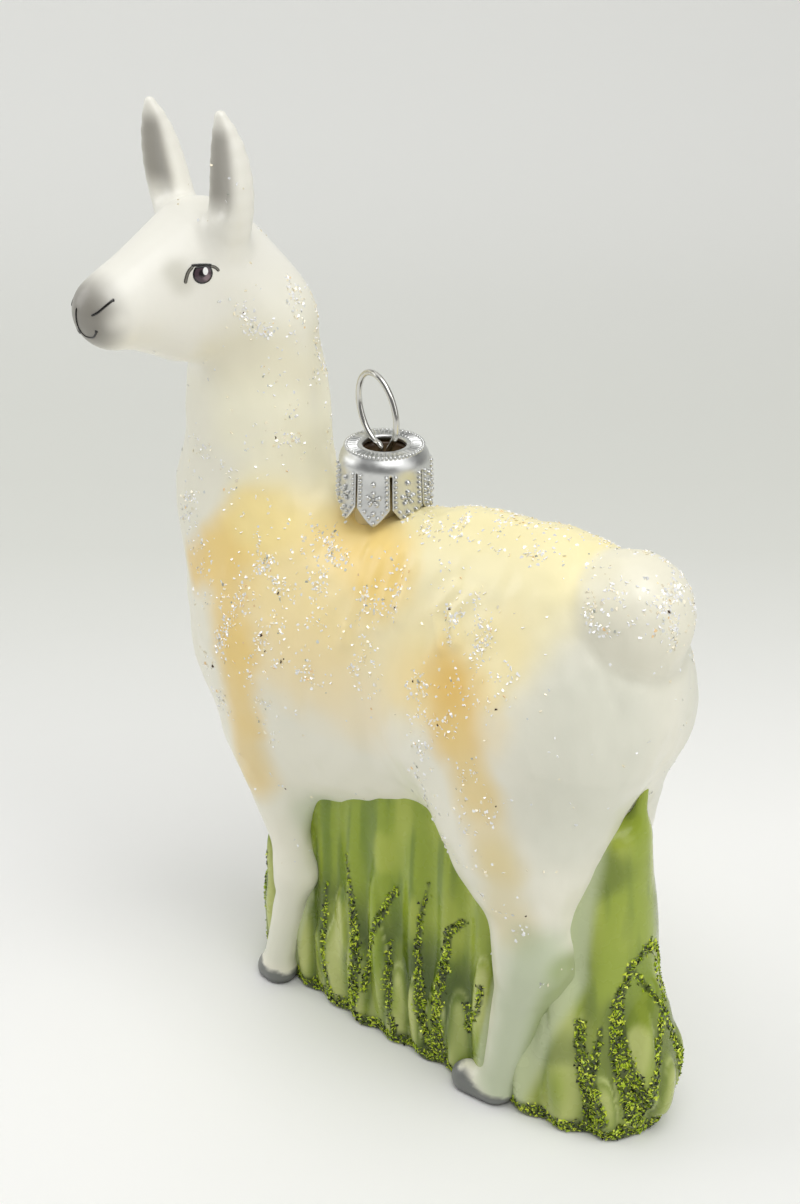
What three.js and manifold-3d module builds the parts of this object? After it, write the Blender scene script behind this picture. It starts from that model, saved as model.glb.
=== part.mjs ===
// Blown-glass llama ornament: a white glass llama with its head turned to its left, standing
// in a block of moulded grass, with a silvered crown cap and a wire hanger on its back.
// Millimetres. The llama faces -Y, +X is its left side and +Z is up. The origin lies on the
// flat underside, straight below the cap.
import * as THREE from 'three';
import { mergeVertices } from 'three/addons/utils/BufferGeometryUtils.js';
import Module from 'manifold-3d';

const wasm = await Module();
wasm.setup();

// ---- Driving dimensions ----
const seam = 0.3; // clear gap between sub-parts that meet
const grassSeam = 0.4; // wider, since both sides of it are coarse
const headTurn = 77; // degrees that the head turns from -Y towards +X
const poll = [0, -24.9, 108.5]; // centre of the head's own frame, at the top of the neck
const hoofHeight = 4.6;
const reach = 60; // half width of the cutting prisms, past every side of the llama

// Tapered limbs run from a to b; squash narrows one sideways.
const trunkForm = {
  barrel: { a: [0, -8.3, 54.8], b: [0, 18.2, 63.8], ra: 23.3, rb: 21.3, squash: 0.57 },
  chest: { centre: [0, -17.1, 58.3], radii: [11.4, 13.7, 13.1] },
  rump: { centre: [0, 34.1, 70.7], radii: [9.6, 11.9, 12.7] },
  melt: 10,
};
const neckForm = {
  base: { a: [0, -25.6, 78], b: [0, -23.3, 91.7], ra: 10.2, rb: 9.3, squash: 0.9 },
  top: { a: [0, -23.3, 91.7], b: [0, -23.4, 102.3], ra: 9.3, rb: 9.2, squash: 0.9 },
  melt: 4,
};
const foreLegForm = {
  shoulder: { a: [7.1, -17.4, 41.7], b: [8.6, -10.2, 22], ra: 3.9, rb: 2.4 },
  shin: { a: [8.6, -10.2, 22], b: [8.6, -14.4, 3.5], ra: 2.4, rb: 2.4 },
  hoof: { a: [8.4, -14.6, 1.5], b: [8.4, -15.8, 1.3], ra: 2.8, rb: 2.6 },
};
const hindLegForm = {
  haunch: { a: [4.7, 33.3, 61.1], b: [5.5, 29.9, 45], ra: 11.6, rb: 9 },
  thigh: { a: [4.7, 21, 56.1], b: [5.5, 27.9, 45], ra: 10, rb: 7.5 },
  gaskin: { a: [5.5, 29.9, 45], b: [7.5, 33.2, 26.7], ra: 9, rb: 5.1 },
  shin: { a: [7.5, 33.2, 26.7], b: [8.8, 28.6, 3.5], ra: 5.1, rb: 2.6 },
  hoof: { a: [8.8, 27.9, 2], b: [9.2, 23.6, 1.6], ra: 2.9, rb: 2.7 },
};
const tailForm = { a: [0, 40.5, 78.3], b: [0, 40.8, 77.6], ra: 8, rb: 7.8 };

// Head and ears are given in the head's frame: forward, to the llama's left, up.
const headForm = {
  skull: { centre: [5.2, 0, 0.9], radii: [8.5, 8.2, 8.5] },
  face: { a: [7.6, 0, 4.7], b: [21.3, 0, -0.8], ra: 7.1, rb: 4.6 },
  jaw: { a: [11.4, 0, -3.1], b: [19.3, 0, -1.3], ra: 6.4, rb: 4.6 },
};
const earForm = {
  root: [6.4, 5.8, 7.5],
  tip: [8.3, 8.8, 23.5],
  longer: 0.6, // the left ear is that much longer, the right ear shorter
  wide: 2.95, // radius near the root
  point: 0.8, // radius at the tip
  fullness: 3.4, // the higher, the later the ear narrows
  stations: 8,
  hollow: { from: 0.3, to: 0.88, out: 1.3, radius: 0.66 }, // shares of its length and radius
  aim: { left: 10, right: 25 }, // degrees that the hollow turns to the llama's left
};
const eyeForm = { centre: [10.9, 6.85, 3.9], radii: [1.3, 0.7, 1.3], turn: 21, cell: 0.8, room: 2.5 };

const grassForm = {
  halfWidth: 9.6,
  front: -14, // the straight sides run from here
  back: 33, // to here, and both ends are rounded
  crown: 46,
  ridgePitch: 6.1,
  ridgeHeight: 0.45,
  foot: { swell: 0.5, height: 11, reach: 7 }, // a little full near the ground
  narrows: 1.6, // that much towards the crown, and again towards the front
  blade: { a: [-1.1, 40.5, 36], b: [-1.1, 43.2, 53], ra: 2.6, rb: 0.5 }, // stands up at the back
};
const capForm = {
  top: 90.3,
  topRadius: 5.2,
  hole: 2.9,
  bandDrop: 2.4, // the band above the petals
  bandRadius: 6.2,
  height: 9.6,
  hemRadius: 6.6,
  wall: 0.6,
  petals: 8,
  turn: -19, // degrees, so that a petal faces a little off the llama's length
};
const pikeForm = { outer: 4.1, inner: 2.9, top: 89.3, low: 76 };
const hangerForm = {
  wire: 0.42, // wire radius
  centre: [-0.2, -1.4, 94.6],
  radii: [3.6, 5.1],
  lean: 22, // degrees towards the neck
  turn: 9, // degrees that its plane turns from the llama's length
  opening: 24, // degrees, half the gap at the loop's foot
  legBend: [0.8, 88.6], // where the legs turn down, from the middle and up
  legSpread: 1.6,
  legEnd: 83,
};

// ---- Distance fields: negative inside ----
const degrees = (angle) => (angle * Math.PI) / 180;
const clamp = (v, low, high) => Math.min(Math.max(v, low), high);
const forward = [Math.sin(degrees(headTurn)), -Math.cos(degrees(headTurn))];

function fromHead([f, l, u]) {
  return [poll[0] + forward[0] * f - forward[1] * l, poll[1] + forward[1] * f + forward[0] * l, poll[2] + u];
}

function limb({ a, b, ra, rb, squash = 1 }) {
  const d = b.map((v, i) => v - a[i]);
  const length2 = d[0] * d[0] + d[1] * d[1] + d[2] * d[2];
  const middle = (a[0] + b[0]) / 2;
  return (x, y, z) => {
    const px = (x - middle) / squash + middle - a[0];
    const py = y - a[1];
    const pz = z - a[2];
    const t = clamp((px * d[0] + py * d[1] + pz * d[2]) / length2, 0, 1);
    return (Math.hypot(px - t * d[0], py - t * d[1], pz - t * d[2]) - ra - (rb - ra) * t) * squash;
  };
}

// An ellipsoid; across is the level direction of its first radius.
function egg({ centre, radii }, across = [1, 0]) {
  return (x, y, z) => {
    const dx = x - centre[0];
    const dy = y - centre[1];
    const p = [dx * across[0] + dy * across[1], dy * across[0] - dx * across[1], z - centre[2]];
    const near = Math.hypot(p[0] / radii[0], p[1] / radii[1], p[2] / radii[2]);
    const slope = Math.hypot(p[0] / radii[0] ** 2, p[1] / radii[1] ** 2, p[2] / radii[2] ** 2);
    return slope > 0 ? (near * (near - 1)) / slope : -Math.min(...radii);
  };
}

// The smooth union of two distances.
function joined(width, p, q) {
  const h = clamp(0.5 + (0.5 * (q - p)) / width, 0, 1);
  return q + (p - q) * h - width * h * (1 - h);
}

function melt(width, first, ...others) {
  return (x, y, z) => others.reduce((d, field) => joined(width, d, field(x, y, z)), first(x, y, z));
}

function carve(width, field, tool) {
  return (x, y, z) => -joined(width, -field(x, y, z), tool(x, y, z));
}

const bothSides = (field) => (x, y, z) => field(Math.abs(x), y, z);
const grown = (field, by) => (x, y, z) => field(x, y, z) - by;
const turned = ({ a, b, ...rest }) => limb({ a: fromHead(a), b: fromHead(b), ...rest });

function foreLeg({ shoulder, shin, hoof }) {
  return melt(1.5, melt(4, limb(shoulder), limb(shin)), limb(hoof));
}

function hindLeg({ haunch, thigh, gaskin, shin, hoof }) {
  const upper = melt(6, melt(7, limb(haunch), limb(thigh)), limb(gaskin));
  return melt(1.5, melt(4, upper, limb(shin)), limb(hoof));
}

function head({ skull, face, jaw }) {
  const dome = egg({ centre: fromHead(skull.centre), radii: skull.radii }, forward);
  return melt(3, melt(4, dome, turned(face)), turned(jaw));
}

function body() {
  const trunk = melt(trunkForm.melt, limb(trunkForm.barrel), egg(trunkForm.chest), egg(trunkForm.rump));
  const neck = melt(neckForm.melt, limb(neckForm.base), limb(neckForm.top));
  const legged = melt(8, melt(12, trunk, neck), bothSides(hindLeg(hindLegForm)));
  return melt(5, melt(7, legged, bothSides(foreLeg(foreLegForm))), head(headForm));
}

// A banana-shaped ear, hollowed on the side that faces forward. side is 1 or -1.
function ear({ root, tip, longer, wide, point, fullness, stations, hollow, aim }, side) {
  const angle = degrees(side > 0 ? aim.left : aim.right);
  const radius = (t) => point + (wide - point) * (1 - t ** fullness);
  const at = (t, out) => {
    const shares = [t * t, 1 - (1 - t) ** 3, t]; // out over the cheek first, then up
    const [f, l, u] = shares.map((share, i) => root[i] + (tip[i] - root[i]) * share);
    const shift = out * radius(t);
    const aside = side * l + Math.sin(angle) * shift;
    return fromHead([f + Math.cos(angle) * shift, aside, u + side * longer * t]);
  };
  const run = (from, to, out, share) => {
    const limbs = [];
    for (let i = 0; i < stations; i++) {
      const [s, t] = [i, i + 1].map((n) => from + ((to - from) * n) / stations);
      limbs.push(limb({ a: at(s, out), b: at(t, out), ra: share * radius(s), rb: share * radius(t) }));
    }
    return melt(0.2, ...limbs);
  };
  return carve(0.8, run(0, 1, 0, 1), run(hollow.from, hollow.to, hollow.out, hollow.radius));
}

// A block with rounded ends, its sides ridged like blades and its crown lower at the front.
function grass({ halfWidth, front, back, crown, ridgePitch, ridgeHeight, foot, narrows, blade }) {
  const spike = limb(blade);
  return (x, y, z) => {
    const heel = 0.72 - 0.14 * clamp((38 - z) / 26, 0, 1); // the back end is longer near the ground
    const past = y > back ? (y - back) * heel : Math.max(front - y, 0) * 0.98;
    const swell = foot.swell * Math.exp(-(((z - foot.height) / foot.reach) ** 2));
    const taper = narrows * (clamp((z - 20) / 25, 0, 1.3) + clamp((2 - y) / 12, 0, 1));
    const lean = 0.1 * (z - 15) + 0.8 * Math.sin(z / 9);
    const depth = ridgeHeight * clamp((crown - 4 - z) / 14, 0, 1); // smooth under the belly
    const ridge = depth * Math.sin(((y + lean) * 2 * Math.PI) / ridgePitch);
    const side = Math.hypot(x + 0.5, past) - halfWidth - swell + taper - ridge;
    const top = crown - 24 * clamp((-10 - y) / 12, 0, 1) + 3 * clamp((y - 26) / 18, 0, 1);
    return joined(2, -joined(4, -side, top - z), spike(x, y, z));
  };
}

// ---- Solids ----
// Surface nets: one vertex in each grid cell that the field's zero surface crosses.
function netSurface(field, low, high, cells) {
  const [nx, ny, nz] = low.map((v, i) => Math.ceil((high[i] - v) / cells[i]) + 1);
  const at = (i, j, k) => (k * ny + j) * nx + i;
  const steps = [1, nx, nx * ny];
  const values = new Float64Array(nx * ny * nz);
  for (let k = 0; k < nz; k++) {
    for (let j = 0; j < ny; j++) {
      for (let i = 0; i < nx; i++) {
        const rim = !i || !j || !k || i === nx - 1 || j === ny - 1 || k === nz - 1;
        const value = field(...[i, j, k].map((v, n) => low[n] + v * cells[n]));
        values[at(i, j, k)] = rim ? Math.max(value, cells[0] / 2) : value;
      }
    }
  }
  const positions = [];
  const vertexOf = new Map();
  const corners = [0, 1, 2, 3, 4, 5, 6, 7].map((c) => [c & 1, (c >> 1) & 1, c >> 2]);
  for (let k = 0; k < nz - 1; k++) {
    for (let j = 0; j < ny - 1; j++) {
      for (let i = 0; i < nx - 1; i++) {
        const sum = [0, 0, 0];
        let hits = 0;
        corners.forEach((corner, c) => {
          steps.forEach((step, axis) => {
            if (corner[axis]) return;
            const start = at(i + corner[0], j + corner[1], k + corner[2]);
            const [v0, v1] = [values[start], values[start + step]];
            if (v0 < 0 === v1 < 0) return;
            corner.forEach((v, n) => (sum[n] += v + (n === axis ? v0 / (v0 - v1) : 0)));
            hits++;
          });
        });
        if (!hits) continue;
        vertexOf.set(at(i, j, k), positions.length / 3);
        const place = [i, j, k].map((v, n) => low[n] + (v + sum[n] / hits) * cells[n]);
        const edge = [i, j, k].some((v, n) => v < 1 || v > [nx, ny, nz][n] - 3);
        positions.push(...(edge ? place : settled(field, place)));
      }
    }
  }
  return { positions, index: netFaces(values, vertexOf, positions, steps) };
}

// Moves a point along the field's slope onto its zero surface.
function settled(field, place) {
  const step = 0.05;
  const value = field(...place);
  const slope = [0, 1, 2].map((n) => {
    const beside = place.map((v, i) => v + (i === n ? step : 0));
    return (field(...beside) - value) / step;
  });
  const steepness2 = slope.reduce((sum, v) => sum + v * v, 1e-6);
  return place.map((v, n) => v - clamp((value * slope[n]) / steepness2, -0.5, 0.5));
}

// A quad round each grid edge that the surface crosses, split along its shorter diagonal.
function netFaces(values, vertexOf, positions, steps) {
  const index = [];
  const gap = (p, q) => Math.hypot(...[0, 1, 2].map((n) => positions[3 * p + n] - positions[3 * q + n]));
  for (const start of vertexOf.keys()) {
    steps.forEach((step, axis) => {
      const [v0, v1] = [values[start], values[start + step]];
      if (v0 < 0 === v1 < 0) return;
      const across = steps[(axis + 1) % 3];
      const along = steps[(axis + 2) % 3];
      const cells = [start - across - along, start - along, start, start - across];
      const ring = cells.map((n) => vertexOf.get(n));
      const [p, q, r, s] = v0 < 0 ? ring : ring.reverse();
      if (gap(p, r) < gap(q, s)) index.push(p, q, r, p, r, s);
      else index.push(p, q, s, q, r, s);
    });
  }
  return index;
}

function solid({ positions, index }) {
  const mesh = new wasm.Mesh({
    numProp: 3,
    vertProperties: new Float32Array(positions),
    triVerts: new Uint32Array(index),
  });
  return new wasm.Manifold(mesh);
}

function solidOf(geometry) {
  geometry.deleteAttribute('normal');
  geometry.deleteAttribute('uv');
  const merged = mergeVertices(geometry, 1e-4);
  return solid({ positions: merged.attributes.position.array, index: merged.index.array });
}

// Moves each side of a convex, anticlockwise outline out by a distance.
function widened(points, by) {
  const sides = points.map((p, i) => {
    const q = points[(i + 1) % points.length];
    const length = Math.hypot(q[0] - p[0], q[1] - p[1]);
    const normal = [(q[1] - p[1]) / length, (p[0] - q[0]) / length];
    return { normal, offset: normal[0] * p[0] + normal[1] * p[1] + by };
  });
  return sides.map((side, i) => {
    const last = sides[(i + sides.length - 1) % sides.length];
    const cross = last.normal[0] * side.normal[1] - last.normal[1] * side.normal[0];
    return [
      (last.offset * side.normal[1] - side.offset * last.normal[1]) / cross,
      (side.offset * last.normal[0] - last.offset * side.normal[0]) / cross,
    ];
  });
}

// A prism on a convex, anticlockwise outline of [y, z] points, from x = low to x = high.
function prism(points, low = -reach, high = reach, by = 0) {
  const outline = new THREE.Shape(widened(points, by).map(([y, z]) => new THREE.Vector2(y, z)));
  const geometry = new THREE.ExtrudeGeometry(outline, { depth: high - low, bevelEnabled: false });
  const axes = [new THREE.Vector3(0, 1, 0), new THREE.Vector3(0, 0, 1), new THREE.Vector3(1, 0, 0)];
  geometry.applyMatrix4(new THREE.Matrix4().makeBasis(...axes).setPosition(low, 0, 0));
  return solidOf(geometry);
}

const aboveGround = prism([[-80, 0], [80, 0], [80, 200], [-80, 200]]);

// Parting outlines, in [y, z]
const thighLine = [[60, 57], [41, 60.5], [27, 63], [15.5, 59.5], [10.5, 53], [12, 44], [19.5, 34]];
const partings = {
  neck: [[-60, 59.7], [20, 97.1], [20, 160], [-60, 160]],
  foreLeg: [[-36, -5], [-3.5, -5], [-3.5, 30], [-8, 36.5], [-18, 42.5], [-36, 41]],
  hindLeg: [[19.5, -5], [60, -5], ...thighLine],
};
const foreLegInside = 3; // the keel between the forelegs stays with the trunk
const throat = 97.5; // height of the head's parting, which drops to the llama's left
const throatDrop = 0.2 * reach;
const headParting = [
  [-reach, throat + throatDrop],
  [reach, throat - throatDrop],
  [reach, 160],
  [-reach, 160],
];

function headPrism(by) {
  const outline = new THREE.Shape(widened(headParting, by).map(([x, z]) => new THREE.Vector2(x, z)));
  const geometry = new THREE.ExtrudeGeometry(outline, { depth: 2 * reach, bevelEnabled: false });
  const axes = [new THREE.Vector3(1, 0, 0), new THREE.Vector3(0, 0, 1), new THREE.Vector3(0, -1, 0)];
  geometry.applyMatrix4(new THREE.Matrix4().makeBasis(...axes).setPosition(0, reach - 20, 0));
  return solidOf(geometry);
}

const flesh = body();
const whole = melt(1.5, flesh, limb(tailForm));

// cell is one size for all three axes, or a size for each.
function shaped(field, low, high, cell) {
  return solid(netSurface(field, low, high, Array.isArray(cell) ? cell : [cell, cell, cell]));
}

// Trunk and legs are cut from one net, and the grass is cut clear of it by the same net, grown.
const lowerBody = [[-20.2, -43.5, -7], [20, 58, 96], [2.6, 3, 4.4]];
const backRoom = shaped(grown(flesh, seam), [-12, -16, 66], [12, 16, 96], 2.4); // under the cap

const clothes = {
  glass: { color: 0xf2eee2, roughness: 0.5, metalness: 0 },
  grass: { color: 0x8fa64a, roughness: 0.2, metalness: 0 },
  hoof: { color: 0x77797a, roughness: 0.4, metalness: 0 },
  eye: { color: 0x3b2a2c, roughness: 0.2, metalness: 0 },
  silver: { color: 0xc9cbcc, roughness: 0.25, metalness: 1 },
};

const ornament = new THREE.Group();

// Vertices that a cut left almost together are merged, and the slivers between them dropped.
function tidied(mesh) {
  const geometry = new THREE.BufferGeometry();
  geometry.setAttribute('position', new THREE.BufferAttribute(mesh.vertProperties, 3));
  geometry.setIndex(new THREE.BufferAttribute(mesh.triVerts, 1));
  const merged = mergeVertices(geometry, 0.001);
  const kept = [];
  for (let i = 0; i < merged.index.count; i += 3) {
    const [p, q, r] = merged.index.array.slice(i, i + 3);
    if (p !== q && q !== r && r !== p) kept.push(p, q, r);
  }
  return merged.setIndex(kept);
}

function addNode(name, shape, finish) {
  const geometry = tidied(shape.getMesh());
  geometry.computeVertexNormals();
  const material = new THREE.MeshStandardMaterial({ ...clothes[finish], flatShading: true });
  const node = new THREE.Mesh(geometry, material);
  node.name = name;
  ornament.add(node);
}

function eyeShape(side, by = 0) {
  const { centre, radii, turn, cell, room } = eyeForm;
  const place = fromHead([centre[0], side * centre[1], centre[2]]);
  const angle = degrees(headTurn - 90 - side * turn);
  const lens = egg({ centre: place, radii }, [Math.cos(angle), Math.sin(angle)]);
  return shaped(grown(lens, by), place.map((v) => v - room), place.map((v) => v + room), cell);
}

function earShape(side) {
  const low = fromHead([7, side * 8, 6]).map((v) => v - 6);
  const high = fromHead([7, side * 8, 27]).map((v) => v + 6);
  return shaped(ear(earForm, side), low, high, 1.65);
}

function addHead() {
  const box = [[-14, -40, 92], [34, -8, 124]];
  const skullCell = 2.7;
  const grownSkull = shaped(grown(flesh, seam), ...box, skullCell);
  let skull = shaped(flesh, ...box, skullCell).intersect(headPrism(0));
  for (const [name, side] of [['left', 1], ['right', -1]]) {
    addNode(`eye_${name}`, eyeShape(side), 'eye');
    skull = skull.subtract(eyeShape(side, seam / 2));
    addNode(`ear_${name}`, earShape(side).subtract(grownSkull), 'glass');
  }
  addNode('head', skull, 'glass');
}

function addNeckAndTrunk() {
  const neck = shaped(flesh, [-16, -44, 58], [16, 6, 112], 3.6);
  addNode('neck', neck.intersect(prism(partings.neck)).subtract(headPrism(seam)), 'glass');
  let trunk = shaped(flesh, [-18, -42, 26], [18, 54, 96], 4.2);
  trunk = trunk.subtract(prism(partings.neck, -reach, reach, seam));
  for (const side of [1, -1]) {
    trunk = trunk.subtract(legPrism(partings.foreLeg, foreLegInside, side, seam));
  }
  trunk = trunk.subtract(prism(partings.hindLeg, -reach, reach, seam));
  addNode('trunk', trunk, 'glass');
}

function legPrism(outline, inside, side, by = 0) {
  const [near, far] = [inside - by, reach];
  return side > 0 ? prism(outline, near, far, by) : prism(outline, -far, -near, by);
}

function addLegs() {
  const figure = shaped(flesh, ...lowerBody).intersect(aboveGround);
  const shank = prism([[-80, hoofHeight], [80, hoofHeight], [80, 100], [-80, 100]]);
  const sole = prism([[-80, 0], [80, 0], [80, hoofHeight - seam], [-80, hoofHeight - seam]]);
  for (const [end, side] of [['left', 1], ['right', -1]]) {
    const legs = {
      front: figure.intersect(legPrism(partings.foreLeg, foreLegInside, side)),
      hind: figure.intersect(legPrism(partings.hindLeg, seam / 2, side)),
    };
    for (const [name, leg] of Object.entries(legs)) {
      addNode(`leg_${name}_${end}`, leg.intersect(shank), 'glass');
      addNode(`hoof_${name}_${end}`, leg.intersect(sole), 'hoof');
    }
  }
}

function addTail() {
  const tail = shaped(limb(tailForm), [-12, 28, 66], [12, 54, 92], 3.2);
  addNode('tail', tail.subtract(shaped(grown(flesh, seam), [-18, 20, 60], [18, 54, 94], 3.4)), 'glass');
}

function addGrass() {
  const block = shaped(grass(grassForm), [-14, -30, -4], [14, 54, 60], [4, 2.3, 8]);
  const room = shaped(grown(whole, grassSeam), ...lowerBody);
  addNode('grass', block.subtract(room).intersect(aboveGround), 'grass');
}

// The glass neck that the cap grips: a short open tube that stands on the back.
function addPike() {
  const { outer, inner, top, low } = pikeForm;
  const profile = [[inner, low], [outer, low], [outer, top], [inner, top], [inner, low]];
  const tube = new THREE.LatheGeometry(profile.map(([r, z]) => new THREE.Vector2(r, z)), 16);
  const pike = solidOf(tube.rotateX(Math.PI / 2));
  addNode('glass_neck', pike.subtract(backRoom), 'glass');
}

// A thin silvered shell: a flat top with a hole, a plain band and a flared skirt cut into petals.
function addCap() {
  const { top, topRadius, hole, bandDrop, bandRadius, height, hemRadius, wall, petals, turn } = capForm;
  const [band, hem] = [top - bandDrop, top - height];
  const shoulder = [bandRadius - 0.25, top - 0.8];
  const outside = [
    [hole, top],
    [topRadius, top],
    shoulder,
    [bandRadius, band + 1],
    [bandRadius, band],
    [hemRadius, hem],
  ];
  const inside = [
    [hemRadius - wall, hem],
    [bandRadius - wall, band + 0.8],
    [shoulder[0] - wall, shoulder[1] - 0.2],
    [topRadius - 0.3, top - wall],
    [hole, top - wall],
  ];
  const profile = [...outside, ...inside, outside[0]].reverse().map(([r, z]) => new THREE.Vector2(r, z));
  const bell = new THREE.LatheGeometry(profile, 24).rotateX(Math.PI / 2).rotateZ(degrees(turn));
  let cap = solidOf(bell);
  const half = (hemRadius * Math.PI) / petals;
  const slit = 0.25; // half its width, below the start of the petals' points
  const points = hem + 2.2;
  const below = hem - 0.2;
  const notch = [[-0.2, band], [-slit, points], [-half, below], [half, below], [slit, points], [0.2, band]];
  const outline = new THREE.Shape(notch.map(([u, z]) => new THREE.Vector2(u, z)));
  for (let i = 0; i < petals; i++) {
    const wedge = new THREE.ExtrudeGeometry(outline, { depth: hemRadius + 1, bevelEnabled: false });
    wedge.rotateX(Math.PI / 2).rotateZ(((i + 0.5) * 2 * Math.PI) / petals + degrees(turn));
    cap = cap.subtract(solidOf(wedge));
  }
  addNode('cap', cap.subtract(backRoom), 'silver');
}

// One wire: an oval loop whose two ends run down into the glass neck and spread there.
function addHanger() {
  const { wire, centre, radii, lean, turn, opening, legBend, legSpread, legEnd } = hangerForm;
  const [s, c] = [Math.sin(degrees(lean)), Math.cos(degrees(lean))];
  const plane = [Math.sin(degrees(turn)), Math.cos(degrees(turn))];
  const point = (u, z) => new THREE.Vector3(plane[0] * u, plane[1] * u, z);
  const middle = centre[1] / plane[1];
  const oval = (angle) => {
    const [a, b] = [radii[0] * Math.cos(angle), radii[1] * Math.sin(angle)];
    return point(middle + a * c - b * s, centre[2] + b * c + a * s);
  };
  const [arc, gap] = [30, degrees(opening)];
  const points = [point(legSpread, legEnd), point(legBend[0], legBend[1])];
  for (let i = 0; i <= arc; i++) {
    points.push(oval(gap - Math.PI / 2 + (i / arc) * (2 * Math.PI - 2 * gap)));
  }
  points.push(point(-legBend[0], legBend[1]), point(-legSpread, legEnd));
  const section = new THREE.Shape();
  section.absarc(0, 0, wire, 0, 2 * Math.PI);
  const path = new THREE.CatmullRomCurve3(points);
  const tube = new THREE.ExtrudeGeometry(section, { extrudePath: path, steps: 44, curveSegments: 3 });
  addNode('hanger', solidOf(tube), 'silver');
}

addHead();
addNeckAndTrunk();
addLegs();
addTail();
addGrass();
addPike();
addCap();
addHanger();

export default ornament;
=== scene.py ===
import math

import bmesh
import bpy
import numpy as np
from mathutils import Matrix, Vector


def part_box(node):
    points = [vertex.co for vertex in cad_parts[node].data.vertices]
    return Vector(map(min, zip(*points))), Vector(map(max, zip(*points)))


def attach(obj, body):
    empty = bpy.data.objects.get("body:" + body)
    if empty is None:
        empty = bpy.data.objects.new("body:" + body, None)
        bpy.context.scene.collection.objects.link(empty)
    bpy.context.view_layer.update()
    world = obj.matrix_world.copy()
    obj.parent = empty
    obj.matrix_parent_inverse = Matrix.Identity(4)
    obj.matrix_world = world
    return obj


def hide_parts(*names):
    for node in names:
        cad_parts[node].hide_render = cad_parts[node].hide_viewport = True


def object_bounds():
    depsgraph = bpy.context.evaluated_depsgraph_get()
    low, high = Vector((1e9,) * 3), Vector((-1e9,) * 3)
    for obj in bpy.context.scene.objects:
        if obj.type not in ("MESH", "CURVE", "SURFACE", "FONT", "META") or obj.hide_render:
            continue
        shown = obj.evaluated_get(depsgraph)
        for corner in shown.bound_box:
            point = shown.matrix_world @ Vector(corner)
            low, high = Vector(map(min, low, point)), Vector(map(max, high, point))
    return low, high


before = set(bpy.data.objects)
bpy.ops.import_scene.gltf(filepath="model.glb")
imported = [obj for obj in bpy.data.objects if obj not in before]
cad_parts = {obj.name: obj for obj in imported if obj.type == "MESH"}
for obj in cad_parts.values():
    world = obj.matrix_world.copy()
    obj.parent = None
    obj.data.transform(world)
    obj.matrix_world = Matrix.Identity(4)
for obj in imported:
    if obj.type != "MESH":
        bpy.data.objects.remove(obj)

# Blown-glass llama ornament. Shapes are worked out in millimetres, with the llama facing -Y,
# its left side at +X and the cap's axis on Z, and turned to metres when a mesh is made.
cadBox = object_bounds()
mm = 0.001


def table(names, *rows):  # one dictionary a row
    return [dict(zip(names.split(), row)) for row in rows]


def linearRgb(hexColour):  # sRGB hex to linear
    parts = np.array([int(hexColour[i:i + 2], 16) for i in (1, 3, 5)]) / 255
    return np.where(parts <= 0.04045, parts / 12.92, ((parts + 0.055) / 1.055) ** 2.4)


# A limb is its two ends, the radius at either, and how much it is squashed sideways, if it is.
figure = {
    "barrel": ((0, -8.3, 54.8), (0, 18.2, 63.8), 23.3, 21.3, 0.57),
    "neckLow": ((0, -25.6, 78), (0, -23.3, 91.7), 10.2, 9.3, 0.9),
    "neckHigh": ((0, -23.3, 91.7), (0, -23.4, 102.3), 9.3, 9.2, 0.9),
    "tail": ((0, 40.5, 78.3), (0, 40.8, 77.6), 8.0, 7.8),
    "chest": {"centre": (0, -17.1, 58.3), "radii": (11.4, 13.7, 13.1)},
    "rump": {"centre": (0, 34.1, 70.7), "radii": (9.6, 11.9, 12.7)},
}
hindLeg = {
    "haunch": ((4.7, 33.3, 61.1), (5.5, 29.9, 45), 11.6, 9),
    "thigh": ((4.7, 21, 56.1), (5.5, 27.9, 45), 10, 7.5),
    "gaskin": ((5.5, 29.9, 45), (7.5, 33.2, 26.7), 9, 5.1),
    "shin": ((7.5, 33.2, 26.7), (8.8, 28.6, 3.5), 5.1, 2.6),
    "hoof": ((8.8, 27.9, 2), (9.2, 23.6, 1.6), 2.9, 2.7),
}
foreLeg = {
    "shoulder": ((7.1, -17.4, 41.7), (8.6, -10.2, 22), 3.9, 2.4),
    "shin": ((8.6, -10.2, 22), (8.6, -14.4, 3.5), 2.4, 2.4),
    "hoof": ((8.4, -14.6, 1.5), (8.4, -15.8, 1.3), 2.8, 2.6),
}
head = {  # forward, to the llama's left and up, from the poll
    "turn": 77,
    "poll": (0, -24.9, 108.5),
    "skull": {"centre": (5.2, 0, 0.9), "radii": (8.5, 8.2, 8.5)},
    "face": ((7.6, 0, 4.7), (21.3, 0, -0.8), 7.1, 4.6),
    "jaw": ((11.4, 0, -3.1), (19.3, 0, -1.3), 6.4, 4.6),
}
ear = {
    "root": (6.4, 5.8, 7.5),
    "tip": (8.3, 8.8, 23.5),
    "longer": 0.6,  # the left ear is that much longer, the right ear shorter
    "wide": 2.95,  # radius near the root
    "point": 0.8,  # radius at the tip
    "fullness": 3.4,  # the higher, the later the ear narrows
    "stations": 8,
    "hollow": {"start": 0.3, "end": 0.88, "out": 1.3, "radius": 0.66},  # shares of length and radius
    "aim": {1: 10, -1: 25},  # degrees that the hollow turns to the llama's left, by side
    "above": 2,  # no part of an ear is lower
}
fillet = {  # how widely a form melts into what carries it
    "trunk": 10, "neck": 12, "neckHigh": 4, "head": 5, "face": 4, "jaw": 3, "tail": 1.5,
    "hindLeg": 8, "thigh": 7, "gaskin": 6, "foreLeg": 7, "shin": 4, "hoof": 1.5, "sole": 0.4,
    "ear": 1.9, "earHollow": 1.0, "earStation": 0.2,
}
turn = math.radians(head["turn"])
faceAxes = np.array([
    [math.sin(turn), -math.cos(turn), 0], [math.cos(turn), math.sin(turn), 0], [0, 0, 1]])


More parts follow.
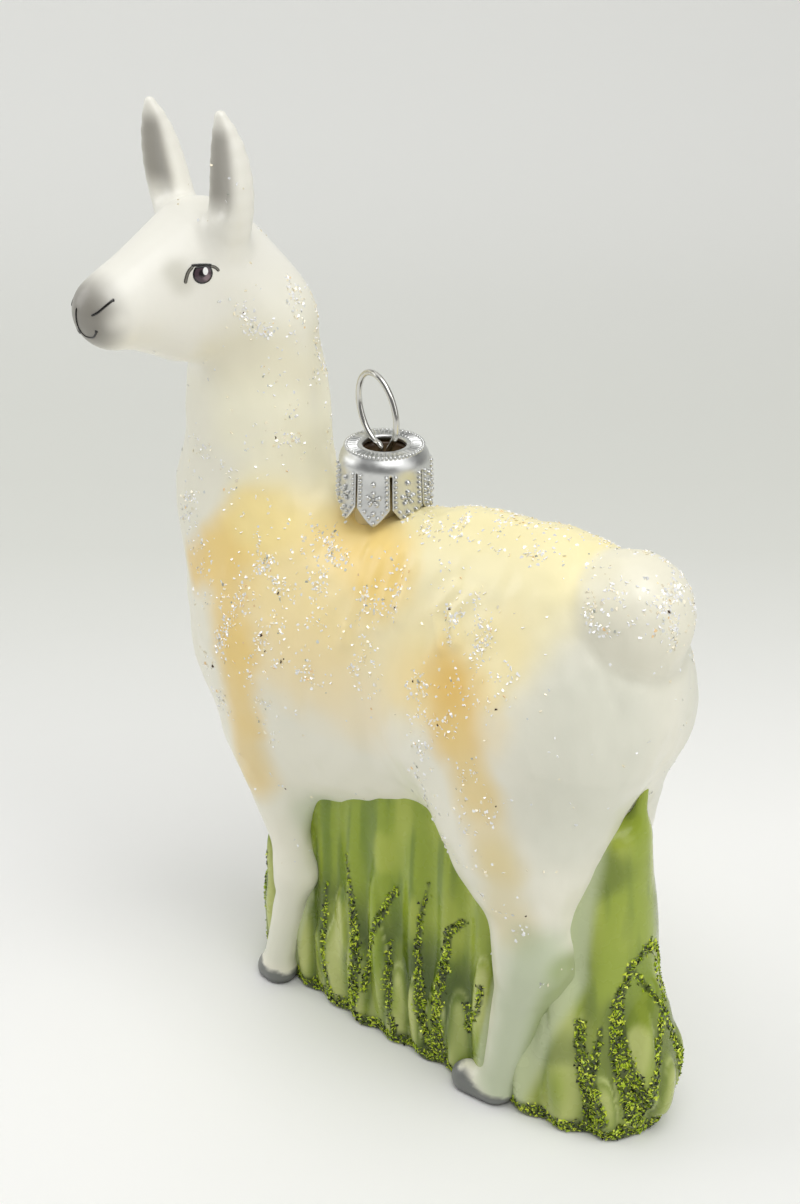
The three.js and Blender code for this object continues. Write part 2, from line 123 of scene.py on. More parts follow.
def fromHead(place):
    return np.array(head["poll"]) + np.array(place, float) @ faceAxes


def toHead(points):
    return (points - np.array(head["poll"])) @ faceAxes.T


def mirrored(points, axis=0):  # both sides folded onto the left one
    folded = points.copy()
    folded[:, axis] = np.abs(folded[:, axis])
    return folded


# Distance fields, in millimetres and negative inside.
def limb(points, a, b, ra, rb, squash=1.0):
    a, b = np.array(a, float), np.array(b, float)
    away = points - a
    if squash != 1:
        middle = (a[0] + b[0]) / 2
        away = away.copy()
        away[:, 0] = (points[:, 0] - middle) / squash + middle - a[0]
    along = b - a
    share = np.clip(away @ along / (along @ along), 0, 1)
    return (np.linalg.norm(away - share[:, None] * along, axis=1) - ra - (rb - ra) * share) * squash


def egg(points, centre, radii):
    away = points - np.array(centre)
    near = np.linalg.norm(away / radii, axis=1)
    slope = np.linalg.norm(away / np.square(radii), axis=1)
    return near * (near - 1) / np.maximum(slope, 1e-6)


def melt(width, p, q):
    h = np.clip(0.5 + 0.5 * (q - p) / width, 0, 1)
    return q + (p - q) * h - width * h * (1 - h)


def carve(width, p, tool):
    return -melt(width, -p, tool)


def bodyField(points):
    beside = mirrored(points)
    body = melt(fillet["trunk"], limb(points, *figure["barrel"]), egg(points, **figure["chest"]))
    body = melt(fillet["trunk"], body, egg(points, **figure["rump"]))
    neck = limb(points, *figure["neckLow"])
    neck = melt(fillet["neckHigh"], neck, limb(points, *figure["neckHigh"]))
    hind = limb(beside, *hindLeg["haunch"])
    for name in ("thigh", "gaskin", "shin", "hoof"):
        hind = melt(fillet[name], hind, limb(beside, *hindLeg[name]))
    fore = limb(beside, *foreLeg["shoulder"])
    for name in ("shin", "hoof"):
        fore = melt(fillet[name], fore, limb(beside, *foreLeg[name]))
    body = melt(fillet["neck"], body, neck)
    return melt(fillet["foreLeg"], melt(fillet["hindLeg"], body, hind), fore)


def headField(points):
    local = toHead(points)
    face = melt(fillet["face"], egg(local, **head["skull"]), limb(local, *head["face"]))
    return melt(fillet["jaw"], face, limb(local, *head["jaw"]))


def earParts(local, side):  # the ear and the tool that hollows it
    angle = math.radians(ear["aim"][side])

    def radius(t):
        return ear["point"] + (ear["wide"] - ear["point"]) * (1 - t ** ear["fullness"])

    def at(t, out):
        shares = (t * t, 1 - (1 - t) ** 3, t)  # out over the cheek first, then up
        ahead, aside, up = [a + (b - a) * share for a, b, share in zip(ear["root"], ear["tip"], shares)]
        shift = out * radius(t)
        return (ahead + math.cos(angle) * shift, side * aside + math.sin(angle) * shift,
                up + side * ear["longer"] * t)

    def run(start, end, out, share):
        d = None
        for i in range(ear["stations"]):
            s, t = [start + (end - start) * n / ear["stations"] for n in (i, i + 1)]
            piece = limb(local, at(s, out), at(t, out), share * radius(s), share * radius(t))
            d = piece if d is None else melt(fillet["earStation"], d, piece)
        return d

    hollow = ear["hollow"]
    return run(0, 1, 0, 1), run(hollow["start"], hollow["end"], hollow["out"], hollow["radius"])


def skinField(points):
    d = melt(fillet["tail"], bodyField(points), limb(points, *figure["tail"]))
    d = melt(fillet["head"], d, headField(points))
    local = toHead(points)
    high = local[:, 2] > ear["above"]
    if high.any():
        for side in (1, -1):
            shell, hollow = earParts(local[high], side)
            d[high] = melt(fillet["ear"], d[high], carve(fillet["earHollow"], shell, hollow))
    return carve(fillet["sole"], d, points[:, 2])  # flat soles


def gradient(field, points, step=0.03):
    slopes = [field(points + step * axis) - field(points - step * axis) for axis in np.eye(3)]
    return unit(np.stack(slopes, 1))


def settled(field, points, rounds=2):  # moves points onto the field's zero surface
    for _ in range(rounds):
        points = points - np.clip(field(points), -0.5, 0.5)[:, None] * gradient(field, points)
    return points


def netSurface(field, low, high, cell):  # quads, with one vertex in each cell that the surface crosses
    block = 4  # cells a side: only blocks near the surface are filled in finely
    blocks = np.ceil((high - low) / cell / block).astype(int)
    grid = [low[i] + cell * block * (np.arange(blocks[i]) + 0.5) - cell / 2 for i in range(3)]
    centres = np.stack(np.meshgrid(*grid, indexing="ij"), -1).reshape(-1, 3)
    rough = field(centres)
    values = np.repeat(np.repeat(np.repeat(rough.reshape(blocks), block, 0), block, 1), block, 2)
    offsets = np.stack(np.meshgrid(*[np.arange(block)] * 3, indexing="ij"), -1).reshape(-1, 3)
    near = np.flatnonzero(np.abs(rough) < cell * block * 1.3)
    for some in np.array_split(near, max(1, len(near) // 4000)):
        start = np.stack(np.unravel_index(some, blocks), 1) * block
        index = (start[:, None] + offsets).reshape(-1, 3)
        values[tuple(index.T)] = field(low + index * cell)
    inside = values < 0
    n = np.array(values.shape)
    count = sum(inside[i:n[0] - 1 + i, j:n[1] - 1 + j, k:n[2] - 1 + k].astype(np.int8)
                for i, j, k in np.ndindex(2, 2, 2))
    active = (count > 0) & (count < 8)
    index = np.argwhere(active)
    vertexOf = -np.ones(active.shape, np.int64)
    vertexOf[active] = np.arange(len(index))
    total, hits = np.zeros((len(index), 3)), np.zeros(len(index))
    steps = np.eye(3, dtype=int)
    for axis in range(3):
        for a, b in np.ndindex(2, 2):
            start = np.zeros(3, int)
            start[(axis + 1) % 3], start[(axis + 2) % 3] = a, b
            v0, v1 = values[tuple((index + start).T)], values[tuple((index + start + steps[axis]).T)]
            crossed = (v0 < 0) != (v1 < 0)
            share = np.where(crossed, v0 / np.where(crossed, v0 - v1, 1), 0)
            total[crossed] += (start + steps[axis] * share[:, None])[crossed]
            hits[crossed] += 1
    points = low + (index + total / hits[:, None]) * cell
    quads = []
    for axis in range(3):
        a = inside[tuple(slice(0, n[i] - steps[axis][i]) for i in range(3))]
        b = inside[tuple(slice(steps[axis][i], n[i]) for i in range(3))]
        edge = np.argwhere(a != b)
        u, v = (axis + 1) % 3, (axis + 2) % 3
        for w in (u, v):
            edge = edge[(edge[:, w] > 0) & (edge[:, w] < n[w] - 1)]
        corners = []
        for du, dv in ((1, 1), (0, 1), (0, 0), (1, 0)):
            cellAt = edge.copy()
            cellAt[:, u] -= du
            cellAt[:, v] -= dv
            corners.append(vertexOf[tuple(cellAt.T)])
        quad = np.stack(corners, 1)
        inward = ~a[tuple(edge.T)]
        quad[inward] = quad[inward][:, ::-1]
        quads.append(quad)
    return points, np.concatenate(quads)


def softNoise(points, size, seed):  # value noise, -1 to 1; size is one number or three
    knots = np.random.default_rng(seed).uniform(-1, 1, (32, 32, 32))
    place = points / np.array(size, float) + 100
    base = np.floor(place).astype(int)
    share = place - base
    share = share * share * (3 - 2 * share)
    total = 0
    for corner in np.ndindex(2, 2, 2):
        weight = np.prod(np.where(np.array(corner), share, 1 - share), axis=1)
        total = total + weight * knots[tuple(((base + corner) % 32).T)]
    return total


def smoothstep(low, high, value):
    t = np.clip((value - low) / (high - low), 0, 1)
    return t * t * (3 - 2 * t)


def unit(vectors):
    return vectors / np.maximum(np.linalg.norm(vectors, axis=-1, keepdims=True), 1e-9)


def sampled(points, steps):  # a smooth run through the given points
    points = np.array(points, float)
    padded = np.vstack([2 * points[0] - points[1], points, 2 * points[-1] - points[-2]])
    out = []
    for t in np.linspace(0, len(points) - 1, steps):
        i = min(int(t), len(points) - 2)
        u = t - i
        p0, p1, p2, p3 = padded[i:i + 4]
        out.append(0.5 * (2 * p1 + (p2 - p0) * u + (2 * p0 - 5 * p1 + 4 * p2 - p3) * u * u
                          + (3 * p1 - p0 - 3 * p2 + p3) * u ** 3))
    return np.array(out)


def linked(name, mesh):
    thing = bpy.data.objects.new(name, mesh)
    bpy.context.scene.collection.objects.link(thing)
    return thing


def addMesh(name, points, faces, paint=None, extra=None):
    mesh = bpy.data.meshes.new(name)
    faces = np.asarray(faces)
    mesh.vertices.add(len(points))
    mesh.vertices.foreach_set("co", (np.asarray(points, np.float32) * mm).ravel())
    mesh.loops.add(faces.size)
    mesh.loops.foreach_set("vertex_index", faces.ravel().astype(np.int32))
    mesh.polygons.add(len(faces))
    mesh.polygons.foreach_set("loop_start", np.arange(0, faces.size, faces.shape[1], dtype=np.int32))
    mesh.update(calc_edges=True)
    mesh.validate()
    mesh.shade_smooth()
    if paint is not None:
        layer = mesh.color_attributes.new("paint", "FLOAT_COLOR", "POINT")
        rgba = np.ones((len(points), 4), np.float32)
        rgba[:, :3] = paint
        layer.data.foreach_set("color", rgba.ravel())
    for key, values in (extra or {}).items():
        layer = mesh.attributes.new(key, "FLOAT", "POINT")
        layer.data.foreach_set("value", np.asarray(values, np.float32))
    return linked(name, mesh)


def plainCopy(name, host):  # the host with its modifiers made real
    bpy.context.view_layer.update()
    graph = bpy.context.evaluated_depsgraph_get()
    mesh = bpy.data.meshes.new_from_object(
        host.evaluated_get(graph), preserve_all_data_layers=True, depsgraph=graph)
    mesh.name = name
    return linked(name, mesh)


def outward(thing, weld=None):
    work = bmesh.new()
    work.from_mesh(thing.data)
    if weld:
        bmesh.ops.remove_doubles(work, verts=work.verts, dist=weld)
    bmesh.ops.recalc_face_normals(work, faces=work.faces)
    work.to_mesh(thing.data)
    work.free()
    return thing


def ringFaces(rows, around, wrap=False):  # quads between neighbouring rings of points
    a = np.arange((rows if wrap else rows - 1) * around)
    b = a - a % around + (a + 1) % around
    return np.stack([a, b, b + around, a + around], 1) % (rows * around)


def sweep(path, normals, widths, heights, sides):  # a closed tube, and how far across it each point is
    along = unit(np.gradient(path, axis=0))
    across = unit(np.cross(normals, along))
    up = np.cross(along, across)
    angles = np.arange(sides) * 2 * math.pi / sides
    ring = (np.cos(angles)[None, :, None] * (across * widths[:, None])[:, None]
            + np.sin(angles)[None, :, None] * (up * heights[:, None])[:, None])
    points = np.vstack([(path[:, None] + ring).reshape(-1, 3), path[:1], path[-1:]])
    count = len(path)
    first, last = [np.full(sides, count * sides + i) for i in (0, 1)]
    k, after = np.arange(sides), (np.arange(sides) + 1) % sides
    final = (count - 1) * sides
    caps = np.stack([first, after, k, last, final + k, final + after], 1).reshape(-1, 3)
    faces = np.vstack([ringFaces(count, sides)[:, [0, 1, 2, 0, 2, 3]].reshape(-1, 3), caps])
    return points, faces, np.append(np.tile(np.cos(angles), count), [0, 0])


def joinParts(parts):  # each is points, faces and one colour a point
    points = np.vstack([part[0] for part in parts])
    starts = np.cumsum([0] + [len(part[0]) for part in parts[:-1]])
    faces = np.vstack([part[1] + start for part, start in zip(parts, starts)])
    return points, faces, np.vstack([part[2] for part in parts])


def painter(count, base):  # a coat of one colour, and a brush that lays others over it
    colour = np.tile(linearRgb(base), (count, 1))

    def blend(hexColour, amount):
        amount = np.clip(amount, 0, 1)[:, None]
        colour[:] = colour * (1 - amount) + linearRgb(hexColour) * amount

    return colour, blend


def node(tree, kind, links=None, **settings):
    made = tree.nodes.new(kind)
    for key, value in settings.items():
        setattr(made, key, value)
    for key, value in (links or {}).items():
        socket = made.inputs[key]
        if isinstance(value, bpy.types.NodeSocket):
            tree.links.new(value, socket)
        else:
            socket.default_value = value
    return made


def geometryTree(name, inputs):
    tree = bpy.data.node_groups.new(name, "GeometryNodeTree")
    for way in ("OUTPUT", "INPUT"):
        tree.interface.new_socket("Geometry", in_out=way, socket_type="NodeSocketGeometry")
    for label, kind in inputs.items():
        tree.interface.new_socket(label, in_out="INPUT", socket_type="NodeSocket" + kind)
    return tree, node(tree, "NodeGroupInput").outputs


def finishTree(tree, geometry, material):
    real = node(tree, "GeometryNodeRealizeInstances", {"Geometry": geometry})
    coated = node(tree, "GeometryNodeSetMaterial", {"Geometry": real.outputs[0], "Material": material})
    node(tree, "NodeGroupOutput", {"Geometry": coated.outputs[0]})
    return tree


def scatterFlakesTree():  # loose plates glued to a surface, as many as its glitter attribute asks for
    tree, given = geometryTree("scatterFlakes", {
        "Density": "Float", "Flake Width": "Float", "Flake Thickness": "Float", "Sides": "Int",
        "Tilt": "Float", "Smallest": "Float", "Largest": "Float", "Seed": "Int", "Material": "Material"})
    amount = node(tree, "GeometryNodeInputNamedAttribute", {"Name": "glitter"}, data_type="FLOAT")
    density = node(tree, "ShaderNodeMath", {0: amount.outputs[0], 1: given["Density"]},
                   operation="MULTIPLY")
    points = node(tree, "GeometryNodeDistributePointsOnFaces", {
        "Mesh": given["Geometry"], "Density": density.outputs[0], "Seed": given["Seed"]},
        distribute_method="RANDOM")
    radius = node(tree, "ShaderNodeMath", {0: given["Flake Width"], 1: 0.5}, operation="MULTIPLY")
    flake = node(tree, "GeometryNodeMeshCylinder", {
        "Vertices": given["Sides"], "Radius": radius.outputs[0], "Depth": given["Flake Thickness"]},
        fill_type="NGON")
    back = node(tree, "ShaderNodeMath", {0: given["Tilt"], 1: -1.0}, operation="MULTIPLY").outputs[0]
    lowest = node(tree, "ShaderNodeCombineXYZ", {"X": back, "Y": back, "Z": -math.pi})
    highest = node(tree, "ShaderNodeCombineXYZ", {"X": given["Tilt"], "Y": given["Tilt"], "Z": math.pi})
    tilt = node(tree, "FunctionNodeRandomValue", {
        0: lowest.outputs[0], 1: highest.outputs[0], "Seed": given["Seed"]}, data_type="FLOAT_VECTOR")
    asTurn = node(tree, "FunctionNodeEulerToRotation", {0: tilt.outputs[0]})
    turned = node(tree, "FunctionNodeRotateRotation", {
        0: points.outputs["Rotation"], 1: asTurn.outputs[0]}, rotation_space="LOCAL")
    size = node(tree, "FunctionNodeRandomValue", {
        2: given["Smallest"], 3: given["Largest"], "Seed": 5}, data_type="FLOAT")
    flakes = node(tree, "GeometryNodeInstanceOnPoints", {
        "Points": points.outputs[0], "Instance": flake.outputs[0], "Rotation": turned.outputs[0],
        "Scale": size.outputs[1]})
    tint = node(tree, "FunctionNodeRandomValue", {2: 0.0, 3: 1.0, "Seed": 9}, data_type="FLOAT")
    tinted = node(tree, "GeometryNodeStoreNamedAttribute", {
        "Geometry": flakes.outputs[0], "Name": "tint", "Value": tint.outputs[1]},
        data_type="FLOAT", domain="INSTANCE")
    return finishTree(tree, tinted.outputs[0], given["Material"])


def beadTree():  # half-sunk pearls, one at each point, as wide as its size attribute says
    tree, given = geometryTree("beading", {"Roundness": "Int", "Material": "Material"})
    bead = node(tree, "GeometryNodeMeshIcoSphere", {"Radius": 1.0, "Subdivisions": given["Roundness"]})
    size = node(tree, "GeometryNodeInputNamedAttribute", {"Name": "size"}, data_type="FLOAT")
    beads = node(tree, "GeometryNodeInstanceOnPoints", {
        "Points": given["Geometry"], "Instance": bead.outputs[0], "Scale": size.outputs[0]})
    smooth = node(tree, "GeometryNodeSetShadeSmooth", {"Geometry": beads.outputs[0]})
    return finishTree(tree, smooth.outputs[0], given["Material"])


def grownFrom(name, host, tree, settings):  # runs a tree on the host and keeps the plain mesh
    modifier = host.modifiers.new(name, "NODES")
    modifier.node_group = tree
    for item in tree.interface.items_tree:
        if item.in_out == "INPUT" and item.name in settings:
            modifier[item.identifier] = settings[item.name]
    host.update_tag()
    thing = plainCopy(name, host)
    host.modifiers.remove(modifier)
    return thing


def flakePatches(thing, sides):  # one small square of the map for each flake
    mesh = thing.data
    corners = np.empty(len(mesh.loops), np.int64)
    mesh.loops.foreach_get("vertex_index", corners)
    flake = corners // (2 * sides)
    across = math.ceil(math.sqrt(flake.max() + 1))
    places = np.stack([flake % across, flake // across], 1) / across
    angle = (corners % sides) * 2 * math.pi / sides
    inside = np.stack([0.5 + 0.35 * np.cos(angle), 0.5 + 0.35 * np.sin(angle)], 1) / across
    layer = mesh.uv_layers.get("OFBake") or mesh.uv_layers.new(name="OFBake")
    layer.data.foreach_set("uv", (places + inside).astype(np.float32).ravel())
    print(thing.name, "flakes:", flake.max() + 1)


# A finish takes its colour from a hex value, or from an attribute, stepped where stops are given.
# Each ripple is a bump with its size and depth in millimetres; where roughness is a pair, the
# first ripple runs between the two.
def finish(name, colour, roughness, sockets=None, ripples=(), stops=()):
    material = bpy.data.materials.new(name)
    material.use_nodes = True
    tree = material.node_tree
    tree.nodes.clear()
    links = {"Roughness": roughness, **(sockets or {})}
    if colour.startswith("#"):
        links["Base Color"] = (*linearRgb(colour), 1)
    else:
        attribute = node(tree, "ShaderNodeAttribute", attribute_name=colour)
        links["Base Color"] = attribute.outputs["Color"]
    if stops:
        ramp = node(tree, "ShaderNodeValToRGB", {"Fac": attribute.outputs["Fac"]})
        ramp.color_ramp.interpolation = "CONSTANT"
        while len(ramp.color_ramp.elements) < len(stops):
            ramp.color_ramp.elements.new(1)
        for element, (place, hexColour) in zip(ramp.color_ramp.elements, stops):
            element.position = place
            element.color = (*linearRgb(hexColour), 1)
        links["Base Color"] = ramp.outputs[0]
    for ripple in ripples:
        place = node(tree, "ShaderNodeTexCoord").outputs["Object"]
        noise = node(tree, "ShaderNodeTexNoise", {
            "Vector": place, "Scale": 1 / (ripple["size"] * mm), "Detail": 2.0})
        bump = {
            "Strength": ripple["strength"], "Distance": ripple["depth"] * mm, "Height": noise.outputs[0]}
        if "Normal" in links:
            bump["Normal"] = links["Normal"]
        else:
            links["Roughness"] = node(tree, "ShaderNodeMapRange", {
                "Value": noise.outputs[0], "From Min": 0.3, "From Max": 0.7,
                "To Min": roughness[0], "To Max": roughness[1]}).outputs[0]
        links["Normal"] = node(tree, "ShaderNodeBump", bump).outputs[0]
    shader = node(tree, "ShaderNodeBsdfPrincipled", links)
    node(tree, "ShaderNodeOutputMaterial", {"Surface": shader.outputs[0]})
    return material


# Blown borosilicate figure, lacquered ivory white and airbrushed: a smooth, slightly milky satin
# with a thin gloss over it. Its ripple is the pull of the glass against the mould.
paintedBlownGlass = finish(
    "paintedBlownGlass", "paint", (0.34, 0.48),
    {"IOR": 1.5, "Coat Weight": 0.25, "Coat Roughness": 0.18},
    table("size strength depth", (2.4, 0.14, 0.25), (0.4, 0.08, 0.05)))
# The same glass under transparent green lacquer, glossy; the darker gaps between the leaves are painted
# shade in its paint.
lacqueredGreenGlass = finish(
    "lacqueredGreenGlass", "paint", (0.2, 0.34),
    {"IOR": 1.4, "Coat Weight": 0.2, "Coat Roughness": 0.05},
    table("size strength depth", (2.6, 0.2, 0.3)))
# Stamped tinplate with a bright silvered coat: soft mirror, a little uneven from the press.
silveredTinplate = finish(
    "silveredTinplate", "#d6d7d5", (0.3, 0.42), {"Metallic": 1.0},
    table("size strength depth", (0.9, 0.1, 0.08)))
# Drawn spring-steel wire with a nickel flash: brighter and smoother than the cap.
nickelledWire = finish("nickelledWire", "#d2d1cb", 0.18, {"Metallic": 1.0})
# Bare glass, mirror-silvered on the inside and gone brown at the cut edge.
silveredGlassNeck = finish("silveredGlassNeck", "paint", 0.25, {"IOR": 1.5})
# Brushed enamel for the eyes and the lines of the face: glossy, and thick enough to stand proud.
glossEnamel = finish(
    "glossEnamel", "paint", 0.22, {"IOR": 1.5, "Coat Weight": 0.3, "Coat Roughness": 0.05})
# Loose glitter, cut from aluminised film: each plate is a mirror in its own lacquer.
clearFilmGlitter = finish("clearFilmGlitter", "tint", 0.18, {"Metallic": 0.2}, stops=(
    (0.0, "#ffffff"), (0.6, "#fff6dc"), (0.86, "#eceeea"), (0.95, "#fbd9a6"), (0.97, "#b4b8ae"),
    (0.99, "#4a3524")))
greenFilmGlitter = finish("greenFilmGlitter", "tint", 0.25, {"Metallic": 0.15}, stops=(
    (0.0, "#1c2406"), (0.22, "#5c6f10"), (0.38, "#b2cc26"), (0.68, "#dcea4a"), (0.93, "#8da021")))
# Matt card for the floor and the sweep behind.
paleCard = finish("paleCard", "paint", 0.8)


coat = {
    "cell": 0.5, "margin": 1.5,  # of the net that the skin is drawn from
    "lumps": table("height size seed", (0.2, (4, 4, 9), 1), (0.13, (1.7, 1.7, 2.8), 2)),
    "tailCrease": {"depth": 0.35, "width": 1.0, "out": 0.5},
    "ivory": "#f2efdd", "headWhite": "#f6f4ea", "tailWhite": "#f5f1dc", "tailCreaseShadow": "#cbc9b6",
    "muzzle": "#655f55", "eyeSocketShadow": "#aba891", "innerEar": "#6f685d",
    "hoof": "#737572", "sole": "#3a3b36", "throat": "#2b221a",
}
sprays = table(  # airbrush strokes from a to b on both sides: full to radius, gone at radius + soft
    "colour a b radius soft strength",
    ("#fff3ba", (2, -8, 81), (3, 33, 84), 4.5, 9, 0.95),
    ("#fff5c6", (9, 14, 78), (9, 30, 78), 3, 8, 0.75),
    ("#fff0bc", (8, 2, 74), (11, 14, 68), 4, 9, 0.8),
    ("#fedc82", (5, -5, 79.5), (8, 6, 76.5), 3, 6, 0.9),
    ("#fff6cc", (6.5, -15, 81), (1, -11, 82.5), 2.2, 6, 0.9),
    ("#fce6a6", (9.5, -12, 73), (12, -2, 66), 4, 9, 0.9),
    ("#fbe6b2", (12.5, -10, 61), (13, 6, 58), 2, 8, 0.6),
    ("#f5d380", (10.9, -27, 67.5), (11.3, -20, 72), 1, 4.5, 0.9),
    ("#fbdc8a", (11.3, -20, 72), (8.7, -15, 77.5), 1.6, 4.5, 0.9),
    ("#ffeba6", (8.7, -15, 77.5), (5, -11.5, 80), 2, 5, 0.9),
    ("#f8d98c", (11.8, -18.5, 69), (14, -15.5, 60), 0.8, 6.5, 0.85),
    ("#f4d482", (14, -15.5, 60), (13.6, -15.3, 49), 0.7, 5.4, 0.9),
    ("#f2d690", (13.6, -15.3, 49), (12.3, -15, 38), 0.6, 5, 0.8),
    ("#fff0b8", (12.6, 19, 69), (12.3, 28, 73), 2, 8, 0.9),
    ("#fce09a", (13.5, 16, 65), (14.5, 28, 64), 1, 7, 0.6),
    ("#f0c76a", (14.3, 22.6, 68), (15.1, 24.8, 62), 0.4, 7, 0.97),
    ("#f3d68c", (15.5, 25, 61), (16, 28.5, 55), 0.8, 5.4, 0.8),
    ("#efd898", (16, 28.5, 55), (16, 32.3, 46), 1, 4.8, 0.6),
    ("#e8d696", (16, 32.3, 46), (13, 33.3, 33.5), 1, 4.2, 0.5),
    ("#ece2b6", (7, -19, 100), (3, -13, 97), 2, 6, 0.4),
    ("#fffbe0", (6, -18, 91), (3, -11, 87), 3, 7, 0.85),
    ("#e1e1d0", (11, 44, 70), (12, 43, 52), 4, 9, 0.8),
    ("#b4c29c", (13, 37, 30), (10, 31, 5), 2, 5.5, 0.75),
    ("#97a765", (8.5, 38, 27), (8, 35.5, 7), 1.4, 3.4, 0.75),
    ("#cdd6bb", (6, -6, 33), (8, 14, 35), 2, 5, 0.6),
    ("#d6dac4", (8.6, -10, 22), (8.5, -14, 6), 0.5, 4, 0.5))
coatFolds = table(  # pressed into the coat on both sides, in y and z
    "line height width",
    ([(3.5, 78), (3.6, 70)], 0.35, 1.0),
    ([(6, 78.5), (6.1, 69)], 0.35, 1.0),
    ([(8.7, 79), (8.8, 70)], 0.35, 1.0),
    ([(11.5, 79.5), (11.6, 72)], 0.3, 1.0),
    ([(19.5, 78.5), (17.2, 74.5), (19.8, 71)], 0.45, 0.8),
    ([(22.3, 78.5), (20.2, 75.5), (22, 72.5)], 0.45, 0.8),
    ([(3, 67.9), (3, 66.4)], 0.5, 1.2))
glitterPatches = table(
    "a b radius soft amount",
    ((8, -25, 72), (9, -20, 50), 2, 4, 0.7),
    ((9.6, -12, 73.5), (8.3, -5, 74.5), 2.5, 4, 1.0),
    ((11.5, -16, 71.5), (14, -17.5, 61), 1.2, 2.5, 1.0),
    ((14, -17.5, 61), (13, -19, 52), 1, 3, 0.5),
    ((12.5, -12, 66), (13, -3, 64), 3, 5, 0.5),
    ((10, 8, 75), (12, 7, 65), 2, 4, 0.7),
    ((9.5, 20, 78), (11.5, 25, 73.5), 2, 4, 0.85),
    ((6, 41.5, 83), (2, 46.8, 82), 3.2, 3, 1.0),
    ((1.5, 10, 83.5), (1.5, 38, 85.5), 2.5, 3.5, 0.9),
    ((14, 20, 64), (14.5, 28, 71), 2, 5, 0.5),
    ((14.9, 17.8, 60), (13.5, 21.5, 43), 0.7, 2.5, 0.6),
    ((13.6, -12, 57), (13, -10, 45), 1, 2.5, 0.45),
    ((15.7, 27, 57), (13.5, 32.5, 36), 1.8, 3, 0.3),
    ((6.9, -17.4, 107.5), (5.5, -16.6, 105), 1.4, 2, 1.0),
    ((-0.6, -15.3, 106.8), (2.6, -14.5, 98.5), 2, 3.5, 0.6),
    ((10, -27, 88), (10.5, -27, 76), 1.5, 3, 0.4),
    ((6, -15, 90), (8, -17, 84), 3, 5, 0.2),
    ((8.5, -30.6, 122), (10.5, -17.5, 124), 1, 2.5, 0.12))


def strokeShare(points, stroke, ragged=0):  # 1 within a stroke's radius, 0 past its soft edge
    away = limb(points, stroke["a"], stroke["b"], stroke["radius"], stroke["radius"])
    return 1 - smoothstep(0, stroke["soft"], away + ragged * stroke["soft"])


def airbrushed(points):
    beside, z = mirrored(points), points[:, 2]
    local = toHead(points)
    colour, blend = painter(len(points), coat["ivory"])
    onFace = smoothstep(0, 12, local[:, 0]) * smoothstep(-14, -8, local[:, 2])
    blend(coat["headWhite"], 0.85 * np.maximum(onFace, smoothstep(104, 114, z)))
    cloud = softNoise(points, 5, 3) * 0.6 + softNoise(points, 2.2, 4) * 0.4
    for spray in sprays:
        blend(spray["colour"], spray["strength"] * strokeShare(beside, spray, cloud * 0.22))
    tail = limb(points, *figure["tail"])
    blend(coat["tailWhite"], 0.8 * (1 - smoothstep(-0.2, 1.2, tail)) * (points[:, 1] > 33))
    # painted shade: a darker band along the crease round the lower edge of the tail lobe
    blend(coat["tailCreaseShadow"], 0.38 * np.exp(-((tail - 0.7) / 1.0) ** 2) * smoothstep(84, 78, z))
    paintHead(local, blend)
    hoof = np.minimum(limb(beside, *foreLeg["hoof"]), limb(beside, *hindLeg["hoof"]))
    slant = z + 0.25 * (points[:, 1] - np.where(points[:, 1] > 5, 24, -17))
    slant = slant + 0.5 * softNoise(points, 1.2, 8)
    toe = 1 - smoothstep(0.8, 1.5, hoof)
    blend(coat["hoof"], toe * (1 - smoothstep(3.2, 4.0, slant)))
    blend(coat["sole"], 0.8 * toe * (1 - smoothstep(0.3, 1.2, z)))
    fromAxis = np.hypot(points[:, 0], points[:, 1])  # bare brown glass inside the cap, with painted shade of the dark hollow seen down the open neck
    blend(coat["throat"], (1 - smoothstep(3.4, 3.9, fromAxis)) * (z > 70) * (z < 92))
    return colour


def paintHead(local, blend):
    sided = mirrored(local, 1)
    onHead = (local[:, 2] > -12) * (local[:, 0] > 8)
    betweenNostrils = limb(sided, (22.6, 4.6, -0.9), (23.2, 4.4, -1.1), 0.1, 0.1)
    muzzle = smoothstep(21.0, 25.6, local[:, 0] + 0.15 * sided[:, 1])
    muzzle = muzzle - 0.25 * (1 - smoothstep(0, 1.8, betweenNostrils))
    blend(coat["muzzle"], 0.8 * muzzle * onHead)
    # painted shade in front of the eye, standing in for the shadow of the brow over the eye socket
    beforeEye = limb(sided, (13.6, 6.3, 3), (14.4, 5.9, 4.6), 0.3, 0.3)
    blend(coat["eyeSocketShadow"], 0.32 * (1 - smoothstep(0, 2.4, beforeEye)) * onHead)
    for side in (1, -1):
        shell, hollow = earParts(local, side)
        along = smoothstep(10.5, 14.5, local[:, 2])
        along = along * smoothstep(23.5, 20.5, local[:, 2] - side * ear["longer"])
        inner = (1 - smoothstep(-0.5, 1.9, hollow)) * (1 - smoothstep(0.5, 1.3, shell)) * along
        blend(coat["innerEar"], 0.8 * inner)


def glitterAmount(points):
    beside = mirrored(points)
    amount = np.full(len(points), 0.02)
    for patch in glitterPatches:
        amount = np.maximum(amount, patch["amount"] * strokeShare(beside, patch))
    clumps = smoothstep(-0.15, 0.75, softNoise(points, 2.6, 11) + 0.6 * softNoise(points, 1.1, 12))
    behindFace = smoothstep(12, 8, toHead(points)[:, 0]) + (points[:, 2] < 95)
    clear = (points[:, 2] > 22) * (np.hypot(points[:, 0], points[:, 1]) > 5)
    return amount * (0.08 + 0.92 * clumps) * clear * np.clip(behindFace + 0.1, 0, 1)


def lineDistance(flat, line):  # from points in a plane to a line of points in it
    nearest = np.full(len(flat), 1e9)
    for a, b in zip(line[:-1], line[1:]):
        a, b = np.array(a, float), np.array(b, float)
        share = np.clip((flat - a) @ (b - a) / ((b - a) @ (b - a)), 0, 1)
        nearest = np.minimum(nearest, np.linalg.norm(flat - a - share[:, None] * (b - a), axis=1))
    return nearest


